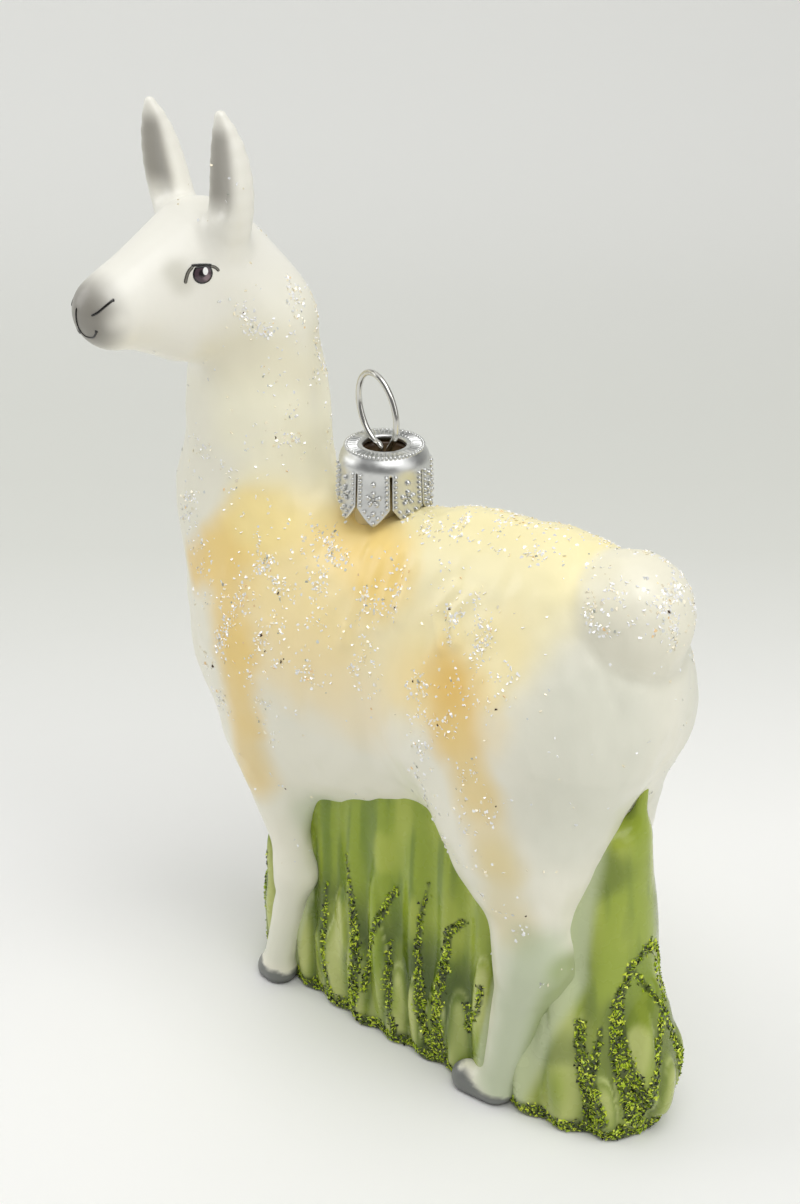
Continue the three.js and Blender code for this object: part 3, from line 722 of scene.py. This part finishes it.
def skin():
    low, high = [np.array(corner) / mm for corner in cadBox]
    points, quads = netSurface(skinField, low - coat["margin"], high + coat["margin"], coat["cell"])
    points = settled(skinField, points, 1)
    normals = gradient(skinField, points)
    lumps = sum(lump["height"] * softNoise(points, lump["size"], lump["seed"]) for lump in coat["lumps"])
    for fold in coatFolds:
        near = lineDistance(points[:, 1:], fold["line"]) / fold["width"]
        lumps = lumps + fold["height"] * np.exp(-near ** 2) * (np.abs(points[:, 0]) > 4)
    crease = coat["tailCrease"]
    near = (limb(points, *figure["tail"]) - crease["out"]) / crease["width"]
    lumps = lumps - crease["depth"] * np.exp(-near ** 2)
    body = (1 - smoothstep(95, 106, points[:, 2])) * smoothstep(8, 16, points[:, 2])
    points = points + (lumps * body)[:, None] * normals
    points[:, 2] = np.maximum(points[:, 2], 0)
    return addMesh("llamaSkin", points, quads, airbrushed(points), {"glitter": glitterAmount(points)})


eye = {
    "centre": (11.0, 7.2, 3.93), "radius": 1.36, "rise": 0.22, "lid": 0.98, "edge": 0.05,
    "rings": 26, "around": 72,
    "iris": "#4b3a41", "glow": "#8c777c", "pupil": "#1d1518", "outline": "#0b090a",
    "highlight": {"place": (-0.34, 0.33), "radii": (0.36, 0.52), "colour": "#fbfbf8"},
}


def eyeColours(a, b):  # a runs to the nose, b up, in millimetres
    colour, blend = painter(len(a), eye["iris"])
    blend(eye["glow"], 0.8 * (1 - smoothstep(0.25, 0.7, np.hypot(a + 0.45, b + 0.5))))
    blend(eye["pupil"], 1 - smoothstep(0.4, 0.62, np.hypot(a - 0.05, b - 0.1)))
    blend(eye["outline"], smoothstep(eye["radius"] - 0.32, eye["radius"] - 0.2, np.hypot(a, b)))
    blend(eye["outline"], smoothstep(eye["lid"] - 0.25, eye["lid"] - 0.15, b))
    (ahead, up), (wide, high) = eye["highlight"]["place"], eye["highlight"]["radii"]
    shine = np.hypot((a - ahead) / wide, (b - up) / high)
    blend(eye["highlight"]["colour"], 1 - smoothstep(0.85, 1.05, shine))
    return colour


def eyes():
    rings, around = eye["rings"], eye["around"]
    parts = []
    for side in (1, -1):
        centre = settled(headField, fromHead(np.array(eye["centre"]) * [1, side, 1])[None])
        normal = gradient(headField, centre)[0]
        ahead = unit(faceAxes[0] - normal * (faceAxes[0] @ normal))
        up = unit(np.array([0, 0, 1]) - normal * normal[2])
        r = np.repeat(np.arange(rings + 1) / rings, around)
        angle = np.tile(np.arange(around) * 2 * math.pi / around, rings + 1)
        a, b = r * eye["radius"] * np.cos(angle), r * eye["radius"] * np.sin(angle)
        b = np.where(b > eye["lid"], eye["lid"] + 0.15 * (b - eye["lid"]), b)
        base = settled(headField, centre + a[:, None] * ahead + b[:, None] * up)
        lift = eye["rise"] * (1 - r ** 2) + eye["edge"]
        lift[-around:] = -0.15  # the rim goes into the skin
        points = np.vstack([base + lift[:, None] * normal, centre - 0.6 * normal])
        k = np.arange(around)
        rim, middle = rings * around, np.full(around, len(points) - 1)
        back = np.stack([rim + (k + 1) % around, rim + k, middle], 1)
        faces = ringFaces(rings + 1, around)[:, [0, 2, 1, 0, 3, 2]].reshape(-1, 3)
        faces = np.vstack([faces, back])
        parts.append((points, faces, np.vstack([eyeColours(a, b), linearRgb(eye["outline"])])))
    return outward(addMesh("eyes", *joinParts(parts)), weld=0.005 * mm)


brush = {"colour": "#15130f", "edge": "#77746a", "height": 0.1, "sides": 14}
brushLines = table(  # in the head's frame, left side; width in millimetres, edged where the paint thins
    "path width edged",
    ([(12.15, 6.45, 4.95), (11.95, 6.6, 5.08), (11, 7.05, 5.08), (10, 7.38, 4.96), (9.8, 7.5, 4.9)],
     0.36, False),
    ([(12.0, 6.55, 4.98), (12.75, 6.6, 4.35), (13.1, 6.5, 3.5), (13.24, 6.43, 2.85)], 0.46, True),
    ([(9.95, 7.45, 4.85), (9.4, 7.7, 4.62), (8.92, 7.91, 4.1)], 0.42, True),
    ([(25.1, 2.6, -0.15), (24.3, 3.1, 0.3), (23.3, 3.6, 1.15), (22.5, 3.95, 1.85)], 0.32, False),
    ([(22.65, 3.9, 1.75), (22.4, 4, 1.75)], 0.42, False),
    ([(25.7, 0, 0.35), (25.85, 0, -0.8), (25.75, 0, -2.3)], 0.26, False),
    ([(25.75, 0, -2.1), (25.5, 0.3, -3.0), (25.21, 0.9, -3.4), (24.88, 2.0, -3.3), (24.8, 2.7, -2.7),
      (24.78, 2.9, -2.3)], 0.27, False),
    ([(24.78, 2.9, -2.4), (24.75, 2.95, -2.1)], 0.42, False))


def faceLines():
    parts = []
    for line in brushLines:
        for side in (1, -1):
            steps = 6 * len(line["path"])
            run = [fromHead(np.array(p) * [1, side, 1]) for p in sampled(line["path"], steps)]
            path = settled(headField, np.array(run), 3)
            normals = gradient(headField, path)
            fromEnd = np.minimum(np.arange(steps) + 0.6, steps - np.arange(steps) - 0.4)
            ends = np.sqrt(np.clip(fromEnd / 2.5, 0, 1))
            points, faces, across = sweep(
                path + 0.02 * normals, normals, line["width"] / 2 * ends, brush["height"] * ends,
                brush["sides"])
            colour, blend = painter(len(points), brush["colour"])
            if line["edged"]:
                blend(brush["edge"], 1 - smoothstep(0.45, 0.75, np.abs(across)))
            parts.append((points, faces, colour))
    return outward(addMesh("faceLines", *joinParts(parts)))


cap = {  # crown and shoulder are radii and heights from the hole out to the band
    "crown": [(2.9, 89.7), (2.92, 90.05), (3.02, 90.26), (3.2, 90.3), (3.4, 90.22), (3.55, 90.2)],
    "ribStart": 3.55, "ribEnd": 5.0, "ribRings": 8, "ribs": 44, "ribHeight": 0.22, "ribTop": 90.2,
    "shoulder": [(5.15, 90.18), (5.26, 90.08), (5.34, 89.92), (5.5, 89.72), (5.7, 89.45),
                 (5.88, 89.15), (6.0, 88.85), (6.08, 88.55), (6.12, 88.25), (6.15, 87.9)],
    "bandRadius": 6.15, "bandEnd": 87.9, "hemRadius": 6.5, "hem": 80.7, "wall": 0.35,
    "petals": 8, "turn": 26,  # degrees from +X to the middle of a petal
    "slit": 0.4, "tipDrop": 2.5, "tipCurve": 1.35,
    "flat": 0.6, "flatFrom": 88.4, "flatBy": 86.6, "flatProud": 1.02,
    "columns": 38, "rows": 22,  # of faces in a petal
    "bead": 0.29, "beadPitch": 0.7, "beadInset": 0.42, "beadProud": 0.1, "tipBeads": 3,
    "rimBead": 0.28, "rimBeads": 58, "rimRadius": 5.2, "rimHeight": 90.16,
    "studs": [(86.7, 0.38), (82.6, 0.36)], "flowerHeight": 84.6, "flowerHeart": 0.2,
    "flowerPetals": 5, "flowerRings": [(0.48, 0.26), (0.85, 0.34)],
}
petalAngle = 2 * math.pi / cap["petals"]


def capSurface(angle, z, radius):  # flattens the round wall towards eight petals as it goes down
    local = (angle - math.radians(cap["turn"]) + petalAngle / 2) % petalAngle - petalAngle / 2
    flat = cap["flat"] * smoothstep(cap["flatFrom"], cap["flatBy"], z)
    r = radius * (1 - flat + flat * math.cos(petalAngle / 2) / np.cos(local) * cap["flatProud"])
    return np.stack([r * np.cos(angle), r * np.sin(angle), z], -1)


def skirtRadius(z):
    share = (cap["hemRadius"] - cap["bandRadius"]) * (cap["bandEnd"] - z)
    return cap["bandRadius"] + share / (cap["bandEnd"] - cap["hem"])


def capShell():
    slitHalf = cap["slit"] / 2 / cap["bandRadius"]
    inPetal = np.linspace(-petalAngle / 2 + slitHalf, petalAngle / 2 - slitHalf, cap["columns"] + 1)
    local = np.append(inPetal, petalAngle / 2)
    angles = np.concatenate([local + k * petalAngle for k in range(cap["petals"])])
    angles = angles + math.radians(cap["turn"])
    across = np.tile(np.append(inPetal / inPetal[-1], 0), cap["petals"])
    count = len(angles)
    ribRadii = np.linspace(cap["ribStart"], cap["ribEnd"], cap["ribRings"] + 1)[1:]
    rings = [(r, z, 0) for r, z in cap["crown"]]
    rings += [(r, cap["ribTop"], cap["ribHeight"]) for r in ribRadii]
    rings += [(r, z, 0) for r, z in cap["shoulder"]]
    rows = [capSurface(angles, z + rise * np.cos(angles * cap["ribs"]), np.full(count, r))
            for r, z, rise in rings]
    bottom = cap["hem"] + cap["tipDrop"] * np.abs(across) ** cap["tipCurve"]
    for i in range(1, cap["rows"] + 1):
        z = cap["bandEnd"] + (bottom - cap["bandEnd"]) * i / cap["rows"]
        rows.append(capSurface(angles, z, skirtRadius(z)))
    faces = ringFaces(len(rows), count)[:, [0, 3, 2, 1]]
    row, column = faces[:, 0] // count, faces[:, 0] % (cap["columns"] + 2)
    faces = faces[(row < len(rings) - 1) | (column < cap["columns"])]  # the rest are the slits
    used, index = np.unique(faces, return_inverse=True)
    sheet = addMesh("capSheet", np.concatenate(rows)[used], index.reshape(-1, 4))
    wall = sheet.modifiers.new("wall", "SOLIDIFY")
    wall.thickness = cap["wall"] * mm
    wall.offset = -1
    shell = plainCopy("capShell", sheet)
    bpy.data.objects.remove(sheet)
    return outward(shell)


def capBeads():
    places, sizes = [], []

    def bead(angle, z, size, radius=None):
        reach = radius or skirtRadius(z) + cap["beadProud"]
        places.append(capSurface(np.array([angle]), np.array([z]), np.array([reach]))[0])
        sizes.append(size * mm)

    for k in range(cap["rimBeads"]):
        bead(k * 2 * math.pi / cap["rimBeads"], cap["rimHeight"], cap["rimBead"], cap["rimRadius"])
    half = cap["bandRadius"] * petalAngle / 2 - cap["slit"] / 2 - cap["beadInset"]
    corner = cap["hem"] + cap["tipDrop"] + 0.35
    tip = cap["hem"] + cap["beadInset"] + 0.12
    for k in range(cap["petals"]):
        middle = math.radians(cap["turn"]) + k * petalAngle

        def at(u, z, size):
            bead(middle + u / cap["bandRadius"], z, size)

        for i in range(int((cap["bandEnd"] - corner) / cap["beadPitch"]) + 1):
            for side in (1, -1):
                at(side * half, corner + i * cap["beadPitch"], cap["bead"])
        for i in range(cap["tipBeads"]):
            share = i / cap["tipBeads"]
            for side in ((1, -1) if i else (1,)):
                at(side * half * share, tip + (corner - tip) * share, cap["bead"])
        for height, size in cap["studs"] + [(cap["flowerHeight"], cap["flowerHeart"])]:
            at(0, height, size)
        for i in range(cap["flowerPetals"]):
            turned = math.pi / 2 + i * 2 * math.pi / cap["flowerPetals"]
            for reach, size in cap["flowerRings"]:
                at(reach * math.cos(turned), cap["flowerHeight"] + reach * math.sin(turned), size)
    host = addMesh("beadPlaces", places, np.zeros((0, 3), int), None, {"size": sizes})
    thing = grownFrom("capBeads", host, beadTree(), {"Roundness": 2, "Material": silveredTinplate})
    bpy.data.objects.remove(host)
    print("beads:", len(places))
    return thing


hanger = {"wire": 0.42, "centre": (-0.2, -1.4, 94.6), "radii": (3.6, 5.1), "lean": 22, "turn": 9,
          "opening": 24, "legBend": (0.8, 88.6), "legSpread": 1.6, "legEnd": 83, "sides": 20}


def hangerLoop():
    lean, turned = math.radians(hanger["lean"]), math.radians(hanger["turn"])
    plane = np.array([math.sin(turned), math.cos(turned), 0])
    middle = hanger["centre"][1] / plane[1]
    gap = math.radians(hanger["opening"])
    path = []
    for angle in np.linspace(gap, 2 * math.pi - gap, 31) - math.pi / 2:
        a, b = hanger["radii"][0] * math.cos(angle), hanger["radii"][1] * math.sin(angle)
        path.append(plane * (middle + a * math.cos(lean) - b * math.sin(lean))
                    + [0, 0, hanger["centre"][2] + b * math.cos(lean) + a * math.sin(lean)])
    out, height = hanger["legBend"]
    for side in (1, -1):
        end = side * plane * hanger["legSpread"] + [0, 0, hanger["legEnd"]]
        leg = [side * plane * out + [0, 0, height], end]
        path = leg[::-1] + path if side == 1 else path + leg
    path = sampled(path, 180)
    normals = np.tile([plane[1], -plane[0], 0], (len(path), 1))
    width = np.full(len(path), hanger["wire"])
    return outward(addMesh("hangerLoop", *sweep(path, normals, width, width, hanger["sides"])[:2]))


openNeck = {  # radii and heights round the wall
    "profile": [(2.9, 79), (4.1, 79), (4.1, 88.8), (4.0, 89.2), (3.7, 89.35), (3.1, 89.3), (2.9, 89)],
    "around": 64, "burntEdge": "#54402c", "wall": "#f0dca4",
}


def glassNeck():
    profile, around = openNeck["profile"], openNeck["around"]
    angles = np.arange(around) * 2 * math.pi / around
    points = np.concatenate([
        np.stack([r * np.cos(angles), r * np.sin(angles), np.full(around, z)], 1) for r, z in profile])
    colour, blend = painter(len(points), openNeck["burntEdge"])
    blend(openNeck["wall"], smoothstep(87, 86, points[:, 2]))
    return outward(addMesh("glassNeckTube", points, ringFaces(len(profile), around, wrap=True), colour))


grass = {
    "halfWidth": 9.6, "front": -14, "back": 33, "crown": 46, "ridgePitch": 6.1, "ridgeHeight": 0.45,
    "blade": ((-1.1, 40.5, 36), (-1.1, 43.2, 53), 2.6, 0.5),
    "leaves": 40, "leafHeight": 0.75, "leafTop": (13, 31), "leafWidth": (0.42, 0.62),
    "cell": 0.42, "margin": 1.5,
    "green": "#94a82a", "streak": "#6d861a", "cloud": "#b4c14c", "leafCrestHighlight": "#c6cd80", "leafEdgeHighlight": "#cbd48c",
    "gap": "#3d500e", "gapShadeWash": "#4f6412", "rear": "#a8b458", "rearShade": "#5b6c28",
    "besideLeg": "#c6d0a6", "underGlitter": "#3f4d15", "foot": "#39431a",
}
grassRound = grass["halfWidth"] * math.pi  # round either end
grassPerimeter = 2 * (grass["back"] - grass["front"]) + 2 * grassRound


def ridgePhase(points):
    lean = 0.1 * (points[:, 2] - 15) + 0.8 * np.sin(points[:, 2] / 9)
    return (points[:, 1] + lean) * 2 * math.pi / grass["ridgePitch"]


def roundTheBlock(points):  # y on the left side, then on round the back, the right side and the front
    x, y = points[:, 0], points[:, 1]
    rear = np.arctan2(np.maximum(y - grass["back"], 0) * 0.62, x + 0.5) * grass["halfWidth"]
    rear = rear + grass["back"]
    front = np.arctan2(np.maximum(grass["front"] - y, 0), x + 0.5) * grass["halfWidth"]
    along = np.where(x > 0, y, 2 * grass["back"] + grassRound - y)
    along = np.where(y > grass["back"], rear, along)
    return np.where(y < grass["front"], grass["front"] - front, along) % grassPerimeter


def leafPattern(points):  # height of the leaves, 0 to 1, and how deep in the gaps a point lies
    along, z = roundTheBlock(points), points[:, 2]
    wander = 1.3 * softNoise(points, (7, 7, 13), 31) + 0.5 * softNoise(points, (3, 3, 8), 35)
    place = (along + wander * smoothstep(0, 8, z)) * grass["leaves"] / grassPerimeter
    total = np.zeros(len(points))
    tops = np.random.default_rng(12).uniform(*grass["leafTop"], grass["leaves"])
    widths = np.random.default_rng(13).uniform(*grass["leafWidth"], grass["leaves"])
    for shift in (-1, 0, 1):
        which = np.floor(place).astype(int) + shift
        u = place - which - 0.5
        top = tops[which % grass["leaves"]]
        width = widths[which % grass["leaves"]] * np.sqrt(np.clip((top - z) / (0.55 * top), 0.001, 1))
        height = np.clip(1 - (u / width) ** 2, 0, 1) ** 0.6 * smoothstep(top, top - 5, z)
        total = np.maximum(total, height)
    return total, (1 - total) * smoothstep(26, 14, z)


def grassField(points):
    x, y, z = points.T
    heel = 0.72 - 0.14 * np.clip((38 - z) / 26, 0, 1)  # the back end is longer near the ground
    past = np.maximum(grass["front"] - y, 0) * 0.98
    past = np.where(y > grass["back"], (y - grass["back"]) * heel, past)
    swell = 0.5 * np.exp(-((z - 11) / 7) ** 2)
    taper = 1.6 * np.clip((z - 20) / 25, 0, 1.3) + 1.6 * np.clip((2 - y) / 12, 0, 1)
    underCrown = np.clip((grass["crown"] - 4 - z) / 14, 0, 1)
    ridge = grass["ridgeHeight"] * underCrown * np.sin(ridgePhase(points))
    side = np.hypot(x + 0.5, past) - grass["halfWidth"] - swell + taper - ridge
    top = grass["crown"] - 24 * np.clip((-10 - y) / 12, 0, 1) + 3 * np.clip((y - 26) / 18, 0, 1)
    block = melt(2, -melt(4, -side, top - z), limb(points, *grass["blade"]))
    return carve(0.6, block, z)


greenLines = table(  # lines of glitter up the leaves, in distance round the block and height
    "line top foot",  # with their widths at the top and at the foot
    ([(-4.7, 21.4), (-5, 13.5), (-4.6, 6.1), (-2.9, 1.3)], 0.45, 1.5),
    ([(-0.3, 28.8), (0.8, 21.7), (1.5, 16.9), (2.5, 11.9), (1.5, 2.4)], 0.4, 2.2),
    ([(8.8, 26.4), (7.4, 23.8), (5.2, 16.7), (3.7, 6.8)], 1.0, 1.0),
    ([(8.3, 17.8), (8.4, 12.2), (8.9, 6), (10, 1)], 0.4, 1.2),
    ([(14.8, 30.4), (13.6, 24), (13.7, 17.4), (14.7, 9.1), (15.9, 3.2)], 0.4, 1.6),
    ([(20.9, 26.7), (18.9, 24.1), (18.7, 18.9), (17.5, 10.2), (17.7, 2.7)], 1.1, 2.4),
    ([(22.7, 13.7), (23, 9.6), (25.3, 14.6), (25.6, 18.6)], 0.9, 0.9),
    ([(38.2, 19.1), (38.2, 15.6), (39, 9.2), (40, 3.6)], 1.0, 1.8),
    ([(48.9, 29.6), (44.6, 27.9), (42.2, 23), (42, 14.9), (44.2, 4.2)], 1.2, 2.8),
    ([(45.2, 26.5), (48.4, 20.3), (51.1, 10.7), (51.5, 3)], 0.8, 1.6),
    ([(56, 19), (57, 11), (56.4, 3)], 0.6, 1.6),
    ([(-18, 22), (-19.5, 13), (-19, 3)], 0.4, 1.8),
    ([(-26, 16), (-25, 9), (-26, 2)], 0.5, 1.4))


def greenGlitter(points):
    z = points[:, 2]
    amount = smoothstep(2.6, 1.7, z + 0.7 * softNoise(points, 1.5, 41))
    along = roundTheBlock(points)
    sameOnRight = 2 * grass["back"] + grassRound - along
    ragged = 0.18 * softNoise(points, 0.8, 42)
    for line in greenLines:
        top, bottom = line["line"][0][1], min(p[1] for p in line["line"])
        down = np.clip((top - z) / max(top - bottom, 1), 0, 1)
        width = line["top"] + (line["foot"] - line["top"]) * down
        for place in (along, along - grassPerimeter, sameOnRight):
            away = lineDistance(np.stack([place, z], 1), line["line"]) + ragged
            amount = np.maximum(amount, 1 - smoothstep(-0.15, 0.1, away - width / 2))
    return amount * (z > 0.4)


def grassBlock():
    low, high = [np.array(corner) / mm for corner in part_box("grass")]
    high[2] = grass["blade"][1][2]  # the blade's tip is above the crown
    points, quads = netSurface(grassField, low - grass["margin"], high + grass["margin"], grass["cell"])
    points = settled(grassField, points, 1)
    normals = gradient(grassField, points)
    z = points[:, 2]
    leaves, gap = leafPattern(points)
    upright = (1 - smoothstep(0.5, 0.9, np.abs(normals[:, 2]))) * smoothstep(0.3, 2.5, z)
    lift = (grass["leafHeight"] * (leaves - 0.55)) * upright * smoothstep(34, 20, z)
    points = points + lift[:, None] * normals * [1, 1, 0]  # sideways only
    points[:, 2] = np.maximum(points[:, 2], 0)
    glitter = greenGlitter(points)
    colour = grassColours(points, leaves, gap, glitter)
    return addMesh("grassBlock", points, quads, colour, {"glitter": glitter})


def grassColours(points, leaves, gap, glitter):
    z = points[:, 2]
    colour, blend = painter(len(points), grass["green"])
    streak = softNoise(points, (1.2, 1.2, 12), 22)
    cloud = softNoise(points, (3.2, 3.2, 8), 21)
    rear = smoothstep(24, 40, points[:, 1])
    blend(grass["streak"], 0.8 * smoothstep(0.0, 0.5, streak))
    blend(grass["cloud"], 0.7 * smoothstep(0.05, 0.6, cloud))
    # painted highlight along the crests of the leaves
    blend(grass["leafCrestHighlight"], 0.9 * smoothstep(0.5, 0.95, leaves) * smoothstep(-0.6, 0.3, cloud))
    # painted shade: the gaps between the leaves darkened, most low down
    blend(grass["gap"], 0.95 * gap * smoothstep(0.6, -0.1, cloud + 0.3 * streak))
    blend(grass["gapShadeWash"], 0.6 * gap)
    # painted highlight: pale lines along the edges of the leaves, on the upper grass
    rim = np.exp(-((leaves - 0.35) / 0.13) ** 2)
    rim = rim * smoothstep(-0.3, 0.4, softNoise(points, (3, 3, 6), 24))
    blend(grass["leafEdgeHighlight"], 0.75 * rim * smoothstep(30, 22, z))
    blend(grass["rear"], 0.3 * rear)
    blend(grass["rearShade"], 0.6 * rear * smoothstep(0.2, 0.8, softNoise(points, (5, 5, 7), 23)))
    beside = mirrored(points)
    hind = np.minimum(limb(beside, *hindLeg["gaskin"]), limb(beside, *hindLeg["shin"]))
    behind = smoothstep(30, 33, points[:, 1])
    nearHind = smoothstep(0.6 + 1.2 * behind, 1.2 + 2.6 * behind, hind + 0.4 * cloud)
    blend(grass["besideLeg"], 0.85 * (1 - nearHind))
    fore = np.minimum(limb(beside, *foreLeg["shoulder"]), limb(beside, *foreLeg["shin"]))
    blend(grass["besideLeg"], 0.6 * (1 - smoothstep(0.3, 1.2, fore)))
    blend(grass["underGlitter"], 0.9 * glitter)
    blend(grass["foot"], 0.7 * smoothstep(3.4, 1.2, z))
    return colour


stage = {  # metres; distances run away from the camera
    "azimuth": 130, "elevation": 26.7, "place": (0.17934, 0.153182, 0.185188),
    "sensor": 36, "lens": 1900 * 36 / 1204,
    "floor": (-0.6, -0.1, 0, 0.04, 0.08, 0.12, 0.16, 0.2, 0.25, 0.3), "halfWidth": 1.2,
    "bend": 0.35, "bendSteps": 24, "wallTop": 1.2, "near": "#f5f5f3", "far": "#dfe0da",
    "aim": (0, 0, 0.06), "room": 0.2,
}
lamps = table(
    "name place size power",
    ("above", (0.15, 0.35, 0.8), 0.7, 3.7), ("top", (0, 0, 0.9), 1.0, 2.4),
    ("left", (0.35, -0.7, 0.4), 0.6, 2.2), ("right", (-0.1, 0.8, 0.4), 0.6, 1.3))


def coated(thing, material):
    thing.data.materials.clear()
    thing.data.materials.append(material)
    return thing


def aimed(name, data, place, back):  # an object that looks the other way from back
    holder = linked(name, data)
    holder.location = place
    holder.rotation_euler = back.to_track_quat("Z", "Y").to_euler()
    return holder


def stageAndLight():
    azimuth, elevation = math.radians(stage["azimuth"]), math.radians(stage["elevation"])
    back = Vector((math.sin(azimuth) * math.cos(elevation), -math.cos(azimuth) * math.cos(elevation),
                   math.sin(elevation)))
    camera = bpy.data.cameras.new("camera")
    camera.lens = stage["lens"]
    camera.sensor_width = stage["sensor"]
    camera.clip_start = 0.01
    bpy.context.scene.camera = aimed("camera", camera, stage["place"], back)

    bend = stage["bend"]
    profile = [(d, 0) for d in stage["floor"]]
    for i in range(stage["bendSteps"] + 1):
        a = i / stage["bendSteps"] * math.pi / 2
        profile.append((bend + bend * math.sin(a), bend - bend * math.cos(a)))
    profile.append((2 * bend, stage["wallTop"]))
    ahead = -Vector((back.x, back.y, 0)).normalized()
    across = Vector((-ahead.y, ahead.x, 0))
    points = [tuple((ahead * d + across * side * stage["halfWidth"] + Vector((0, 0, h))) / mm)
              for d, h in profile for side in (-1, 1)]
    faces = [(2 * i, 2 * i + 1, 2 * i + 3, 2 * i + 2) for i in range(len(profile) - 1)]
    away = np.repeat([d for d, h in profile], 2)
    # painted shade on the card: darkest a little way behind the figure, lighter again up the sweep
    sweepShade = 1.15 * smoothstep(0.02, 0.18, away) - 0.7 * smoothstep(0.2, 0.5, away)
    sweepShade = sweepShade[:, None]  # least bright a little way behind
    colour = linearRgb(stage["near"]) * (1 - sweepShade) + linearRgb(stage["far"]) * sweepShade
    coated(addMesh("backdrop", points, faces, colour), paleCard)

    for lamp in lamps:
        light = bpy.data.lights.new(lamp["name"], "AREA")
        light.size = lamp["size"]
        light.energy = lamp["power"]
        aimed(lamp["name"], light, lamp["place"], Vector(lamp["place"]) - Vector(stage["aim"]))
    world = bpy.data.worlds.new("room")
    world.use_nodes = True
    background = world.node_tree.nodes["Background"]
    background.inputs["Color"].default_value = (1, 1, 1, 1)
    background.inputs["Strength"].default_value = stage["room"]
    bpy.context.scene.world = world
    bpy.context.scene.view_settings.view_transform = "Standard"
    print("stage and lamps:", len(lamps))


glitter = {  # density in flakes a square metre, tilt in radians, smallest and largest as shares
    "clear": {"Density": 7.0 / mm ** 2, "Flake Width": 0.46 * mm, "Flake Thickness": 0.05 * mm,
              "Sides": 5, "Tilt": 0.75, "Smallest": 0.55, "Largest": 1.3, "Seed": 3},
    "green": {"Density": 9.5 / mm ** 2, "Flake Width": 0.62 * mm, "Flake Thickness": 0.06 * mm,
              "Sides": 3, "Tilt": 1.0, "Smallest": 0.55, "Largest": 1.3, "Seed": 4},
}
flakesTree = scatterFlakesTree()


def scattered(name, host, kind, material):
    thing = grownFrom(name, host, flakesTree, {**glitter[kind], "Material": material})
    flakePatches(thing, glitter[kind]["Sides"])
    return thing


def placed(thing, body, slot, *nodes):
    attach(thing, body)
    if nodes:
        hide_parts(*nodes)
    print(thing.name, "faces:", len(thing.data.polygons))


skinPiece = coated(skin(), paintedBlownGlass)
skinGlitter = scattered("skinGlitter", skinPiece, "clear", clearFilmGlitter)
placed(skinPiece, "figure", "glass_white", "trunk", "neck", "head", "ear_left", "ear_right", "tail",
       "leg_front_left", "leg_front_right", "leg_hind_left", "leg_hind_right",
       "hoof_front_left", "hoof_front_right", "hoof_hind_left", "hoof_hind_right")
placed(skinGlitter, "figure", "glass_white")
placed(coated(eyes(), glossEnamel), "figure", "eye_dark", "eye_left", "eye_right")
placed(coated(faceLines(), glossEnamel), "figure", "eye_dark")

grassPiece = coated(grassBlock(), lacqueredGreenGlass)
grassGlitter = scattered("grassGlitter", grassPiece, "green", greenFilmGlitter)
placed(grassPiece, "figure", "glass_green", "grass")
placed(grassGlitter, "figure", "glass_green")

placed(coated(glassNeck(), silveredGlassNeck), "figure", "glass_bare", "glass_neck")
placed(coated(capShell(), silveredTinplate), "cap", "cap_silver", "cap")
placed(capBeads(), "cap", "cap_silver")
placed(coated(hangerLoop(), nickelledWire), "cap", "wire_steel", "hanger")
stageAndLight()
